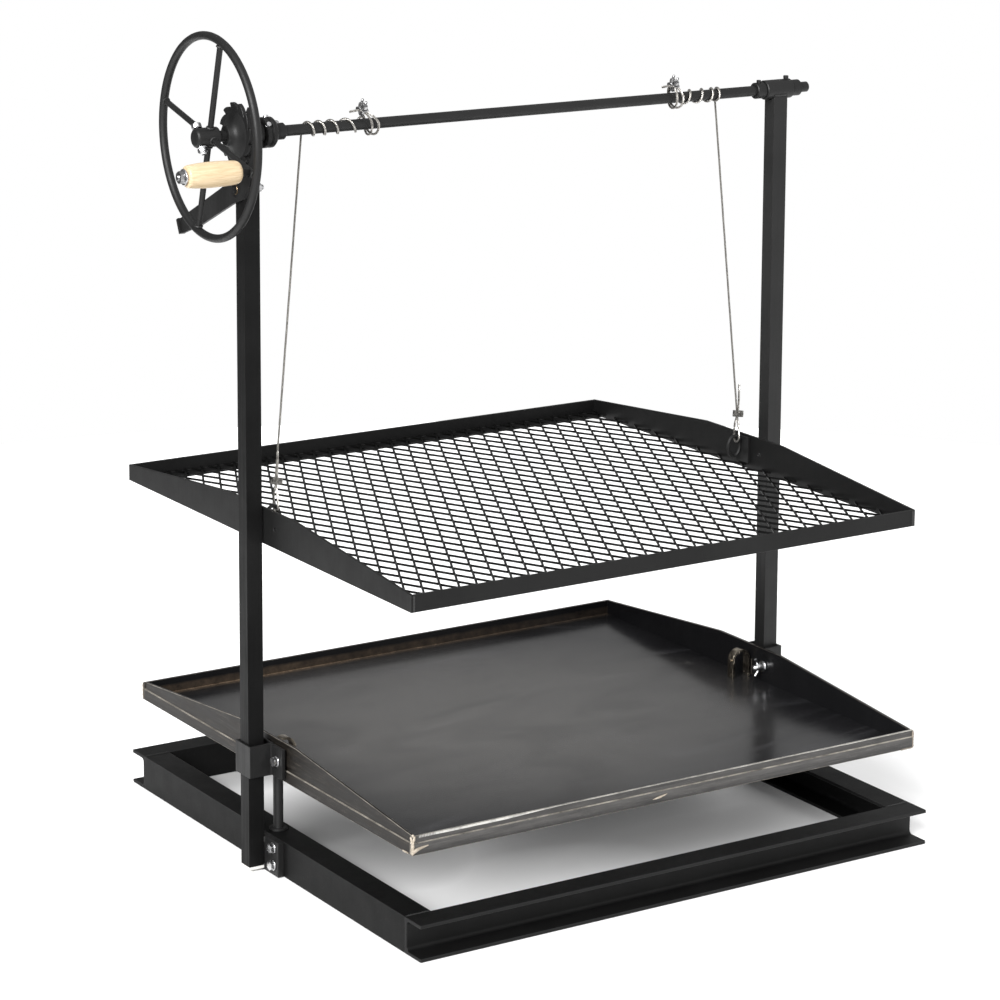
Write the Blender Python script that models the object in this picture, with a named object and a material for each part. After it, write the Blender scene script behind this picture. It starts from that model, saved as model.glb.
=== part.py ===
"""Crank-lift charcoal grill: welded channel base, two posts, fire tray, hung grate, hand-wheel winch.

Metres, +Z up, standing on z = 0. X runs along the winch shaft (hand wheel at -X), Y is the depth
(user side at -Y) and both posts stand in the plane y = 0. All the numbers below are millimetres.
"""

import math

import bmesh
import bpy
from mathutils import Matrix, Vector

MM = 0.001
GAP = 0.3  # clearance between pieces that rest on each other or are welded

# base frame of four channels
BASE_X, BASE_Y = 440.0, 436.0  # half sizes over the flanges
CHANNEL_H, FLANGE, WALL = 53.0, 42.0, 5.0
FILLET = 6.0
BOLT_Y, BOLT_Z = -39.0, (16.0, 42.0)

# posts
POST_X, POST_W, POST_T = 462.5, 25.0, 2.0
POST_FOOT_Z, POST_TOP_Z = 8.0, 1078.0
CAP_BOTTOM_Z = 3.5

# winch shaft
SHAFT_Z, SHAFT_R = 1083.5, 8.0
SHAFT_ENDS = (-543.0, 521.0)
BORE_R = 8.4
BEARING_R = 15.0
LEFT_BEARING, RIGHT_BEARING = (-474.5, -441.0), (437.5, 487.5)

# hand wheel
WHEEL_X, WHEEL_R, RIM_R = -522.0, 142.0, 6.0
SPOKE_R, SPOKE_TILT = 4.25, math.radians(14.8)
HUB = (-546.0, -510.0, 14.0)
HUB_BOLT_X, HUB_BOLT_LEAN = -537.5, math.radians(30.2)  # between two spokes
GRIP_RADIUS_POS = 122.7
GRIP = (-620.5, -538.5, 18.0)
STUD_END = -634.0

# ratchet and pawl
GEAR_FACES, GEAR_TIP_R, GEAR_ROOT_R, GEAR_TEETH = (-482.0, -476.0), 46.5, 38.5, 12
GEAR_PHASE = math.radians(134.0)
PAWL_FACES = (-481.5, -476.5)
PIVOT_Z = 1006.0

# lift cables
CABLE_R = 1.5
WRAP_R = SHAFT_R + CABLE_R + 0.35

# fire tray
TRAY_X, TRAY_Y, TRAY_T = 434.0, 405.0, 4.0
TRAY_BOTTOM, TRAY_CORNER_Z, TRAY_TOP_Z, TRAY_FLAT = 142.0, 170.0, 200.0, 80.0
TRAY_BAND_Z, TRAY_BAND_T = 159.5, 1.5
BRACKET_Z = (146.0, 194.0)
TRAY_BOLT_Y, TRAY_BOLT_Z = -39.0, 172.0

# grate, hung a little towards the wheel side
GRATE_X, GRATE_Y, GRATE_T = (-446.5, 414.5), 421.7, 4.0
GRATE_BOTTOM, GRATE_CORNER_Z, GRATE_TOP_Z, GRATE_FLAT = 490.0, 515.0, 544.0, 100.0
GRATE_LEG = 28.0
MESH_Z = (494.3, 497.3)
CELL_X, CELL_Y, STRAND = 93.0, 186.0, 9.0
LUG_Z = 525.0


# ---------------------------------------------------------------- basic solids
def link(name, mesh):
    obj = bpy.data.objects.new(name, mesh)
    bpy.context.scene.collection.objects.link(obj)
    return obj


def solid(name, points, faces):
    """A closed mesh from points in millimetres, with its faces turned outwards."""
    bm = bmesh.new()
    corners = [bm.verts.new(Vector(p) * MM) for p in points]
    for face in faces:
        bm.faces.new([corners[i] for i in face])
    bmesh.ops.recalc_face_normals(bm, faces=bm.faces)
    mesh = bpy.data.meshes.new(name)
    bm.to_mesh(mesh)
    bm.free()
    return link(name, mesh)


def place(axis, u, v, along):
    """A point from two coordinates across the axis and one along it."""
    return {"x": (along, u, v), "y": (u, along, v), "z": (u, v, along)}[axis]


def prism(name, axis, outline, low, high):
    """A flat outline, given as pairs across the axis, drawn out along the axis."""
    n = len(outline)
    points = [place(axis, u, v, low) for u, v in outline]
    points += [place(axis, u, v, high) for u, v in outline]
    faces = [tuple(range(n)), tuple(range(n, 2 * n))]
    faces += [(i, (i + 1) % n, n + (i + 1) % n, n + i) for i in range(n)]
    return solid(name, points, faces)


def box(name, xs, ys, zs):
    outline = [(xs[0], ys[0]), (xs[1], ys[0]), (xs[1], ys[1]), (xs[0], ys[1])]
    return prism(name, "z", outline, *zs)


def circle(u, v, radius, sides=24, turn=0.0):
    steps = [turn + 2 * math.pi * i / sides for i in range(sides)]
    return [(u + radius * math.cos(a), v + radius * math.sin(a)) for a in steps]


def rod(name, axis, u, v, radius, low, high, sides=24):
    return prism(name, axis, circle(u, v, radius, sides), low, high)


def hexagon(name, axis, u, v, across, low, high):
    return prism(name, axis, circle(u, v, across / math.sqrt(3), 6, math.pi / 6), low, high)


def lathe(name, axis, u, v, profile, sides=32):
    """A closed profile of (along, radius) pairs turned about a line parallel to the axis."""
    rings, points = [], []
    for along, radius in profile:
        ring = []
        for cu, cv in circle(u, v, radius, sides):
            ring.append(len(points))
            points.append(place(axis, cu, cv, along))
        rings.append(ring)
    faces = []
    for a, b in zip(rings, rings[1:] + rings[:1]):
        faces += [(a[i], a[(i + 1) % sides], b[(i + 1) % sides], b[i]) for i in range(sides)]
    return solid(name, points, faces)


def sleeve(name, axis, u, v, outer, inner, low, high, sides=32, bevel=0.8):
    profile = [(low, inner), (low, outer - bevel), (low + bevel, outer)]
    profile += [(high - bevel, outer), (high, outer - bevel), (high, inner)]
    return lathe(name, axis, u, v, profile, sides)


def sweep(name, path, radius, sides=8, closed=False):
    """A round bar along a path of points."""
    path = [Vector(p) for p in path]
    n = len(path)
    tangents = []
    for i in range(n):
        after = path[(i + 1) % n] if closed or i + 1 < n else path[i]
        before = path[i - 1] if closed or i else path[i]
        tangents.append((after - before).normalized())
    side = tangents[0].orthogonal().normalized()
    points = []
    for i, (p, t) in enumerate(zip(path, tangents)):
        side = (side - t * side.dot(t)).normalized()
        up = t.cross(side)
        for cu, cv in circle(0, 0, radius, sides):
            points.append(p + side * cu + up * cv)
    faces = []
    for i in range(n if closed else n - 1):
        a, b = i * sides, (i + 1) % n * sides
        faces += [(a + k, a + (k + 1) % sides, b + (k + 1) % sides, b + k) for k in range(sides)]
    if not closed:
        faces += [tuple(range(sides)), tuple(range((n - 1) * sides, n * sides))]
    return solid(name, points, faces)


# ---------------------------------------------------------------- combining
def combine(obj, others, operation):
    for other in others:
        change = obj.modifiers.new(operation, "BOOLEAN")
        change.solver = "EXACT"
        change.operation = operation
        change.object = other
    bpy.context.view_layer.update()
    graph = bpy.context.evaluated_depsgraph_get()
    mesh = bpy.data.meshes.new_from_object(obj.evaluated_get(graph))
    obj.modifiers.clear()
    obj.data = mesh
    for other in others:
        bpy.data.objects.remove(other)
    return obj


def join(obj, *others):
    return combine(obj, others, "UNION")


def cut(obj, *others):
    return combine(obj, others, "DIFFERENCE")


def mirrored(name, obj):
    """The same solid on the other side of x = 0."""
    points = [Vector((-v.co.x, v.co.y, v.co.z)) / MM for v in obj.data.vertices]
    faces = [tuple(reversed(p.vertices)) for p in obj.data.polygons]
    return solid(name, points, faces)


# ---------------------------------------------------------------- base frame
def channel_outline():
    """Cross-section of a channel: web at u = 0 to WALL, flanges reaching to u = FLANGE."""
    low = [(FLANGE, 0), (FLANGE, WALL)]
    for turn in (0, 30, 60, 90):
        a = math.radians(270 - turn)
        low.append((WALL + FILLET * (1 + math.cos(a)), WALL + FILLET * (1 + math.sin(a))))
    high = [(u, CHANNEL_H - v) for u, v in reversed(low)]
    return [(0, 0)] + low + high + [(0, CHANNEL_H)]


def base_frame():
    inner = BASE_Y - FLANGE
    outline = channel_outline()
    for name, sign in (("base_front_channel", -1), ("base_rear_channel", 1)):
        prism(name, "x", [(sign * (inner + u), v) for u, v in outline], -BASE_X, BASE_X)
    length = inner - GAP
    for name, sign in (("base_left_channel", -1), ("base_right_channel", 1)):
        web = prism(name, "y", [(sign * (BASE_X - u), v) for u, v in outline], -length, length)
        ends = sorted((sign * (BASE_X + 5), sign * (BASE_X - 12)))
        cut(web, *[rod("hole", "x", BOLT_Y, z, 4.4, *ends, 16) for z in BOLT_Z])


def post(name, sign):
    half, bore = POST_W / 2, POST_W / 2 - POST_T
    x = sign * POST_X
    tube = box(name, (x - half, x + half), (-half, half), (POST_FOOT_Z, POST_TOP_Z))
    bore_box = box("bore", (x - bore, x + bore), (-bore, bore), (0, POST_TOP_Z + 20))
    cope = rod("cope", "x", 0, SHAFT_Z, BEARING_R + GAP, x - 40, x + 40, 32)
    cut(tube, bore_box, cope)
    if sign < 0:
        cut(tube, rod("hole", "x", 0, PIVOT_Z, 4.4, x - 20, x + 20, 16))
    cap = box(f"{name}_cap", (x - half, x + half), (-half, half), (CAP_BOTTOM_Z, POST_FOOT_Z - GAP))
    inside = bore - GAP
    plug = box("plug", (x - inside, x + inside), (-inside, inside), (CAP_BOTTOM_Z + 1, 22))
    join(cap, plug)


def foot_bracket(side, sign):
    """Plate welded to the foot of a post and bolted twice to the web of the side channel."""
    near, far = BASE_X + GAP, POST_X - POST_W / 2 - GAP
    xs = sorted((sign * near, sign * far))
    plate = box(f"{side}_foot_plate", xs, (-53.0, 12.0), (0.5, 53.0))
    ends = sorted((sign * (near - 5), sign * (far + 5)))
    cut(plate, *[rod("hole", "x", BOLT_Y, z, 4.4, *ends, 16) for z in BOLT_Z])
    for level, z in zip(("lower", "upper"), BOLT_Z):
        head = POST_X - POST_W / 2
        bolt = rod(f"{side}_{level}_foot_bolt", "x", BOLT_Y, z, 8.0,
                   *sorted((sign * head, sign * (head + 1.6))), 20)
        end = BASE_X - WALL - 8
        join(
            bolt,
            rod("shank", "x", BOLT_Y, z, 4.0, *sorted((sign * (head + 1), sign * end)), 16),
            hexagon("head", "x", BOLT_Y, z, 13.0, *sorted((sign * (head + 1.2), sign * (head + 7)))),
        )


def bearings():
    for side, (low, high) in (("left", LEFT_BEARING), ("right", RIGHT_BEARING)):
        tube = sleeve(f"{side}_bearing_tube", "x", 0, SHAFT_Z, BEARING_R, BORE_R, low, high)
        if side == "right":
            join(tube, rod("screw", "z", high - 7, 0, 2.5, SHAFT_Z + 12, SHAFT_Z + 20, 12))
    bolt = rod("pawl_pivot_bolt", "x", 0, PIVOT_Z, 4.0, -486.5, -437.0, 16)
    join(
        bolt,
        rod("head", "x", 0, PIVOT_Z, 8.0, -488.5, -481.8, 20),
        rod("washer", "x", 0, PIVOT_Z, 8.0, -476.2, -475.3, 20),
        hexagon("nut", "x", 0, PIVOT_Z, 13.0, -449.7, -441.5),
    )


# ---------------------------------------------------------------- winch
def across_shaft(name, radius, low, high, sides):
    """A round bar through the hub and the shaft, along the line of the hub bolt."""
    c, s = math.sin(HUB_BOLT_LEAN), math.cos(HUB_BOLT_LEAN)
    ends = [(HUB_BOLT_X, r * c, SHAFT_Z + r * s) for r in (low, high)]
    return sweep(name, ends, radius, sides)


def wheel():
    z = SHAFT_Z
    ring = [
        (WHEEL_X, WHEEL_R * math.cos(a), z + WHEEL_R * math.sin(a))
        for a in (2 * math.pi * i / 48 for i in range(48))
    ]
    sweep("wheel_rim", ring, RIM_R, 10, closed=True)
    low, high, radius = HUB
    profile = [(low, 0.05), (low, radius - 4), (low + 1.2, radius - 1.2), (low + 4, radius)]
    profile += [(high - 0.8, radius), (high, radius - 0.8), (high, BORE_R)]
    profile += [(SHAFT_ENDS[0] - GAP, BORE_R), (SHAFT_ENDS[0] - GAP, 0.05)]
    hub = lathe("wheel_hub_and_spokes", "x", 0, z, profile)
    join(hub, rod("core", "x", 0, z, 1.0, low + 0.2, SHAFT_ENDS[0] - GAP - 0.4, 12))
    spokes = []
    for quarter in range(4):
        a = SPOKE_TILT + quarter * math.pi / 2
        c, s = math.cos(a), math.sin(a)
        ends = [(WHEEL_X, r * c, z + r * s) for r in (radius - 3, WHEEL_R - RIM_R - 0.4)]
        spokes.append(sweep("spoke", ends, SPOKE_R, 12))
    c, s = -math.cos(SPOKE_TILT), -math.sin(SPOKE_TILT)
    corners = [(69, 0), (132, 0), (132, 16), (126, 22), (75, 22), (69, 16)]
    outline = [(r * c - w * s, z + r * s + w * c) for r, w in corners]
    spokes.append(prism("pad", "x", outline, -525.0, -520.0))
    join(hub, *spokes)
    cut(hub, across_shaft("hole", 4.4, -20, 20, 16))


def grip_centre():
    """The grip's axis as (y, z): on the spoke that points to the user's side."""
    c, s = -math.cos(SPOKE_TILT), -math.sin(SPOKE_TILT)
    return GRIP_RADIUS_POS * c, SHAFT_Z + GRIP_RADIUS_POS * s


def grip():
    y, z = grip_centre()
    low, high, radius = GRIP
    middle = (low + high) / 2
    profile = [(low, 5.4), (low, radius - 4.2), (low + 1.5, radius - 2.4), (low + 10, radius - 1.2)]
    profile += [(middle, radius), (high - 18, radius - 0.6), (high - 8, radius - 1.6)]
    profile += [(high - 2.5, radius - 3.8), (high, radius - 7), (high, 5.4)]
    lathe("wood_grip", "x", y, z, profile, 28)
    stud = rod("grip_stud", "x", y, z, 4.6, STUD_END, -526.6, 16)
    join(
        stud,
        hexagon("nut", "x", y, z, 15.0, -631.5, -624.0),
        rod("washer", "x", y, z, 10.5, -624.5, -622.4, 24),
        rod("flange", "x", y, z, 11.0, -538.2, -536.0, 24),
        hexagon("inner_nut", "x", y, z, 15.0, -536.5, -526.6),
    )


def gear_outline():
    """Ratchet teeth with a steep face on one side and a long back on the other."""
    outline = []
    pitch = 2 * math.pi / GEAR_TEETH
    depth = GEAR_TIP_R - GEAR_ROOT_R
    for tooth in range(GEAR_TEETH):
        start = GEAR_PHASE + tooth * pitch
        for share, height in ((0.0, 0.0), (-0.06, 0.97), (0.03, 1.0), (0.25, 0.86),
                              (0.5, 0.6), (0.75, 0.28)):
            a, r = start + share * pitch, GEAR_ROOT_R + depth * height
            outline.append((r * math.cos(a), SHAFT_Z + r * math.sin(a)))
    return outline


def ratchet():
    low, high = GEAR_FACES
    gear = prism("ratchet_gear", "x", gear_outline(), low, high)
    dome = [(-498.0, BORE_R), (-498.0, 13.0), (-497.0, 14.2), (-492.0, 15.6), (-488.0, 19.5),
            (-485.0, 25.5), (-483.2, 31.0), (low + 1, 35.0), (low + 1, BORE_R)]
    join(gear, lathe("dome", "x", 0, SHAFT_Z, dome, 28))
    cut(gear, rod("bore", "x", 0, SHAFT_Z, BORE_R, low - 2, high + 2, 28))


def pawl():
    """Lever with a release handle behind the post and a hook over the ratchet."""
    polar = [(47.8, 131), (51, 142), (50.5, 160), (50.5, 180), (52, 205), (55, 235)]
    inner = [(r * math.cos(math.radians(a)), SHAFT_Z + r * math.sin(math.radians(a)))
             for r, a in polar]
    handle = [(12, 1022), (42, 1003), (150, 950), (172, 939), (163, 919), (110, 938), (8, 985),
              (-25, 997)]
    polar = [(70, 223), (62, 200), (58.5, 180), (58, 160), (60, 143), (57, 130)]
    outer = [(r * math.cos(math.radians(a)), SHAFT_Z + r * math.sin(math.radians(a)))
             for r, a in polar]
    lever = prism("pawl_lever", "x", inner + handle + outer, *PAWL_FACES)
    pad = prism("pad", "x", [(171, 940), (162, 919.5), (167, 917), (176, 937)], -486.0, -476.5)
    join(lever, pad)
    cut(lever, rod("hole", "x", 0, PIVOT_Z, 4.4, -490, -470, 16))


def collars():
    z = SHAFT_Z
    left = [(-440.4, BORE_R), (-440.4, 21.0), (-439.4, 22.0), (-434.0, 22.0), (-433.0, 20.5),
            (-431.5, 20.5), (-430.5, 22.0), (-425.0, 22.0), (-421.5, 18.0), (-421.5, 12.0),
            (-405.8, 12.0), (-405.0, 11.2), (-405.0, BORE_R)]
    flange = lathe("left_shaft_collar", "x", 0, z, left, 28)
    join(flange, rod("screw_a", "z", -427.0, -4, 2.6, z + 19, z + 24.5, 12),
         rod("screw_b", "z", -414.0, -2, 2.6, z + 10, z + 15.0, 12))
    inner = sleeve("right_inner_collar", "x", 0, z, 12.5, BORE_R, 420.5, 437.0, 28)
    join(inner, rod("screw", "z", 427.0, -2, 2.6, z + 11, z + 17.0, 12))
    sleeve("right_end_collar", "x", 0, z, 12.5, BORE_R, 488.0, 504.0, 28)


def shaft():
    bar = rod("winch_shaft", "x", 0, SHAFT_Z, SHAFT_R, *SHAFT_ENDS, 28)
    cut(bar, across_shaft("hole", 4.4, -20, 20, 16))
    bolt = across_shaft("hub_through_bolt", 4.0, -25, 17, 16)
    seat = HUB[2] + GAP
    join(bolt, across_shaft("head", 7.2, seat, seat + 7, 6), across_shaft("nut", 7.2, -seat - 7, -seat, 6))


# ---------------------------------------------------------------- lift cables
def cable_set(side, top_x, low_x, pitches, loop_x, lean, rise):
    """Wraps on the shaft, the end loop with its clip, the hanging part and its lower clip."""
    z = SHAFT_Z
    path, x, per_turn = [], top_x, 12
    for pitch in pitches:
        for step in range(per_turn):
            a = 2 * math.pi * step / per_turn
            along = x + pitch * step / per_turn
            path.append((along, WRAP_R * math.cos(a), z + WRAP_R * math.sin(a)))
        x += pitch
    sweep(f"{side}_cable_wraps", path, CABLE_R, 6)

    ring = []
    for step in range(24):
        a = 2 * math.pi * step / 24
        high = max(0.0, math.sin(a)) ** 2
        r = 17.0 + (rise - 17.0) * high
        ring.append((loop_x + lean * high, r * math.cos(a), z + r * math.sin(a)))
    loop = sweep(f"{side}_cable_anchor", ring, CABLE_R, 8, closed=True)
    cx, cy, cz = loop_x + lean, -1.0, z + rise
    saddle = box("saddle", (cx - 9, cx + 9), (cy - 5, cy + 5), (cz - 4, cz + 5))
    bow = [(cx - 7.0 * math.cos(t), cy, cz + 4 + 8 * math.sin(t))
           for t in (math.pi * i / 8 for i in range(9))]
    bow = [(bow[0][0], cy, cz)] + bow + [(bow[-1][0], cy, cz)]
    tail = [(cx - 20, cy + 1, cz), (cx - 7, cy + 1, cz)]
    join(loop, saddle, sweep("bow", bow, 2.0, 8), sweep("tail", tail, CABLE_R, 8))

    clip_z, eye_z = LUG_Z + 53.0, LUG_Z + 5.5
    start = (top_x, WRAP_R, z - 1.0)
    foot = (low_x, 0.0, clip_z + 9.0)
    sweep(f"{side}_lift_cable", [start, foot], CABLE_R, 8)
    width = 6.5
    eye = [(low_x, 0.0, clip_z - 4)]
    for step in range(9):
        t = math.pi * step / 8
        eye.append((low_x, -width * math.cos(t), eye_z + 11 - 11 * math.sin(t)))
    eye.append((low_x, 0.6, clip_z - 3))
    clip = box(f"{side}_cable_clip", (low_x - 9, low_x + 9), (-4.5, 4.5), (clip_z - 5, clip_z + 8))
    legs = [sweep("leg", [(low_x, s * 1.6, clip_z - 2), (low_x, s * width, eye_z + 22),
                          (low_x, s * width, eye_z + 11)], CABLE_R, 8) for s in (-1, 1)]
    bend = [(low_x, -width * math.cos(t), eye_z + 12 - 11 * math.sin(t))
            for t in (math.pi * i / 8 for i in range(9))]
    tail = sweep("tail", [(low_x + 4.5, 0, clip_z + 4), (low_x + 6.5, 0, clip_z + 45)],
                 CABLE_R, 8)
    join(clip, *legs, sweep("bend", bend, CABLE_R, 8), tail)


# ---------------------------------------------------------------- fire tray
def raised_side(half, corner_z, top_z, flat, bottom):
    return [(-half, bottom), (half, bottom), (half, corner_z), (flat, top_z), (-flat, top_z),
            (-half, corner_z)]


def tray_walls():
    x, y, t = TRAY_X, TRAY_Y, TRAY_T
    box("tray_floor", (-x + t + GAP, x - t - GAP), (-y + t + GAP, y - t - GAP), (144.0, 148.0))
    for name, sign in (("tray_front_wall", -1), ("tray_rear_wall", 1)):
        face, back = sign * y, sign * (y - t)
        low = sign * (y + TRAY_BAND_T)
        outline = [(back, TRAY_BOTTOM), (low, TRAY_BOTTOM), (low, TRAY_BAND_Z),
                   (face, TRAY_BAND_Z), (face, TRAY_CORNER_Z), (back, TRAY_CORNER_Z)]
        prism(name, "x", outline, -x - TRAY_BAND_T, x + TRAY_BAND_T)
    half = y - t - GAP
    shape = raised_side(half, TRAY_CORNER_Z + 0.4, TRAY_TOP_Z, TRAY_FLAT, TRAY_BOTTOM)
    wall = prism("tray_left_wall", "x", shape, -x, -x + t)
    band = box("band", (-x - TRAY_BAND_T, -x + t), (-half, half), (TRAY_BOTTOM, TRAY_BAND_Z))
    join(wall, band)
    cut(wall, rod("hole", "x", TRAY_BOLT_Y, TRAY_BOLT_Z, 4.4, -x - 10, -x + 15, 16))
    mirrored("tray_right_wall", wall)


def tray_fittings():
    outer, inner = -478.0, -438.2
    bracket = box("left_slide_bracket", (outer, inner), (-22.0, 22.0), BRACKET_Z)
    ear = box("ear", (inner - 5, inner), (-55.0, -20.0), (BRACKET_Z[0] + 1, BRACKET_Z[1] - 1))
    bore = box("bore", (outer + 2.7, inner - 3), (-19.0, 19.0), (BRACKET_Z[0] - 5, BRACKET_Z[1] + 5))
    join(bracket, ear)
    hole = rod("hole", "x", TRAY_BOLT_Y, TRAY_BOLT_Z, 4.4, inner - 12, inner + 5, 16)
    cut(bracket, bore, hole)
    mirrored("right_slide_bracket", bracket)

    head = inner - 5 - GAP
    bolt = rod("left_tray_bolt", "x", TRAY_BOLT_Y, TRAY_BOLT_Z, 8.0, head - 1.6, head, 20)
    join(
        bolt,
        hexagon("head", "x", TRAY_BOLT_Y, TRAY_BOLT_Z, 13.0, head - 7.2, head - 1.4),
        rod("shank", "x", TRAY_BOLT_Y, TRAY_BOLT_Z, 4.0, head - 2, -410.0, 16),
    )
    mirrored("right_tray_bolt", bolt)

    y, z = TRAY_BOLT_Y, TRAY_BOLT_Z
    nut = lathe("left_wing_nut", "x", y, z, [(-429.6, 4.3), (-429.6, 8.5), (-427.6, 8.5),
                (-427.0, 6.5), (-415.0, 5.6), (-415.0, 4.3)], 20)
    wings = []
    for s in (-1, 1):
        outline = [(-423.0, z + s * 5.0), (-415.2, z + s * 5.0), (-411.0, z + s * 12.0),
                   (-412.5, z + s * 15.5), (-417.5, z + s * 14.5)]
        wings.append(prism("wing", "y", outline, y - 1.6, y + 1.6))
    join(nut, *wings)
    mirrored("right_wing_nut", nut)

    arch = []
    for radius in (17.0, 13.0):
        half = [(radius * math.cos(t), 176.5 + radius * math.sin(t))
                for t in (math.pi * i / 12 for i in range(13))]
        legs = [(radius, 148.3)] + half + [(-radius, 148.3)]
        arch += legs if radius == 17.0 else legs[::-1]
    outline = [(-411.0 + u, v) for u, v in arch]
    loop = prism("left_tray_loop", "y", outline, -7.0, 7.0)
    join(loop, rod("rivet", "x", 0, 177.0, 3.5, -398.0, -391.5, 14))
    mirrored("right_tray_loop", loop)

    leg = rod("left_tray_leg", "z", -420.0, 0, 7.5, CHANNEL_H + GAP, 143.6, 20)
    join(leg, rod("pad", "z", -420.0, 0, 13.5, CHANNEL_H + GAP, CHANNEL_H + 3.5, 24))
    mirrored("right_tray_leg", leg)


# ---------------------------------------------------------------- grate
def grate_frame():
    (left, right), y, t = GRATE_X, GRATE_Y, GRATE_T
    for name, sign in (("grate_front_rail", -1), ("grate_rear_rail", 1)):
        outline = [(y, GRATE_BOTTOM), (y, GRATE_CORNER_Z), (y - t, GRATE_CORNER_Z),
                   (y - t, GRATE_BOTTOM + t), (y - GRATE_LEG, GRATE_BOTTOM + t),
                   (y - GRATE_LEG, GRATE_BOTTOM)]
        ends = (left + t + GAP, right - t - GAP)
        prism(name, "x", [(sign * u, v) for u, v in outline], *ends)
    shape = raised_side(y, GRATE_CORNER_Z, GRATE_TOP_Z, GRATE_FLAT, GRATE_BOTTOM)
    for name, xs in (("grate_left_wall", (left, left + t)), ("grate_right_wall", (right - t, right))):
        wall = prism(name, "x", shape, *xs)
        cut(wall, rod("hole", "x", -43.0, 518.0, 3.2, xs[0] - 5, xs[1] + 5, 12))
    for side, face, sign in (("left", left + t, 1), ("right", right - t, -1)):
        x = face + sign * GAP
        pad = box(f"{side}_cable_lug", sorted((x, x + sign * 4)), (-20.0, 6.0), (500.0, 541.0))
        ring = [(x + sign * (16.5 + 11 * math.cos(a)), 0, LUG_Z + 16 * math.sin(a))
                for a in (2 * math.pi * i / 20 for i in range(20))]
        join(pad, sweep("ring", ring, 2.8, 8, closed=True))


def grate_mesh():
    """A coarse diamond lattice inside a rim, standing in for the finer expanded metal."""
    (left, right), y, t = GRATE_X, GRATE_Y, GRATE_T
    xs, ys = (left + t + GAP, right - t - GAP), (-y + t + GAP, y - t - GAP)
    sheet = box("grate_mesh", xs, ys, MESH_Z)
    rim, points, faces = 6.0, [], []
    hx, hy = CELL_X / 2, CELL_Y / 2
    slope = math.hypot(hx, hy)
    shrink = STRAND / 2 * slope
    columns, rows = int((xs[1] - xs[0]) / hx) + 2, int((ys[1] - ys[0]) / hy) + 2
    middle = (xs[0] + xs[1]) / 2
    for i in range(-columns // 2, columns // 2 + 1):
        for j in range(-rows // 2, rows // 2 + 1):
            if (i + j) % 2:
                continue
            cx, cy = middle + i * hx, j * hy
            dx, dy = hx - shrink / hy, hy - shrink / hx
            diamond = [(cx + dx, cy), (cx, cy + dy), (cx - dx, cy), (cx, cy - dy)]
            diamond = clipped(diamond, (xs[0] + rim, xs[1] - rim), (ys[0] + rim, ys[1] - rim))
            if len(diamond) < 3 or area(diamond) < 150.0:
                continue
            n, first = len(diamond), len(points)
            points += [(u, v, z) for z in (MESH_Z[0] - 2, MESH_Z[1] + 2) for u, v in diamond]
            faces.append(tuple(first + k for k in reversed(range(n))))
            faces.append(tuple(first + n + k for k in range(n)))
            for k in range(n):
                m = (k + 1) % n
                faces.append((first + k, first + m, first + n + m, first + n + k))
    cut(sheet, solid("holes", points, faces))


def clipped(outline, xs, ys):
    """The part of a convex outline inside a rectangle."""
    for axis, limit, keep in ((0, xs[0], 1), (0, xs[1], -1), (1, ys[0], 1), (1, ys[1], -1)):
        result = []
        for a, b in zip(outline, outline[1:] + outline[:1]):
            da, db = keep * (a[axis] - limit), keep * (b[axis] - limit)
            if da >= 0:
                result.append(a)
            if da * db < 0:
                share = da / (da - db)
                result.append(tuple(p + (q - p) * share for p, q in zip(a, b)))
        outline = result
        if not outline:
            break
    return outline


def area(outline):
    pairs = zip(outline, outline[1:] + outline[:1])
    return abs(sum(a[0] * b[1] - b[0] * a[1] for a, b in pairs)) / 2


def main():
    for obj in list(bpy.data.objects):
        bpy.data.objects.remove(obj)
    base_frame()
    for side, sign in (("left", -1), ("right", 1)):
        post(f"{side}_post", sign)
        foot_bracket(side, sign)
    bearings()
    tray_walls()
    tray_fittings()
    grate_frame()
    grate_mesh()
    shaft()
    wheel()
    grip()
    ratchet()
    pawl()
    collars()
    cable_set("left", -370.0, -421.0, (17.5, 19.0, 22.0, 32.0), -263.0, -14.0, 21.0)
    cable_set("right", 352.0, 398.0, (-9.0, -17.0, -22.0, -24.0), 270.0, -3.0, 19.0)


main()
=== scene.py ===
"""The looks of the hand-winched grill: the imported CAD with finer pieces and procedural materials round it.

The frame is the CAD's. Shapes are written in millimetres, and materials and the camera in metres.
"""

import math
import random

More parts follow.
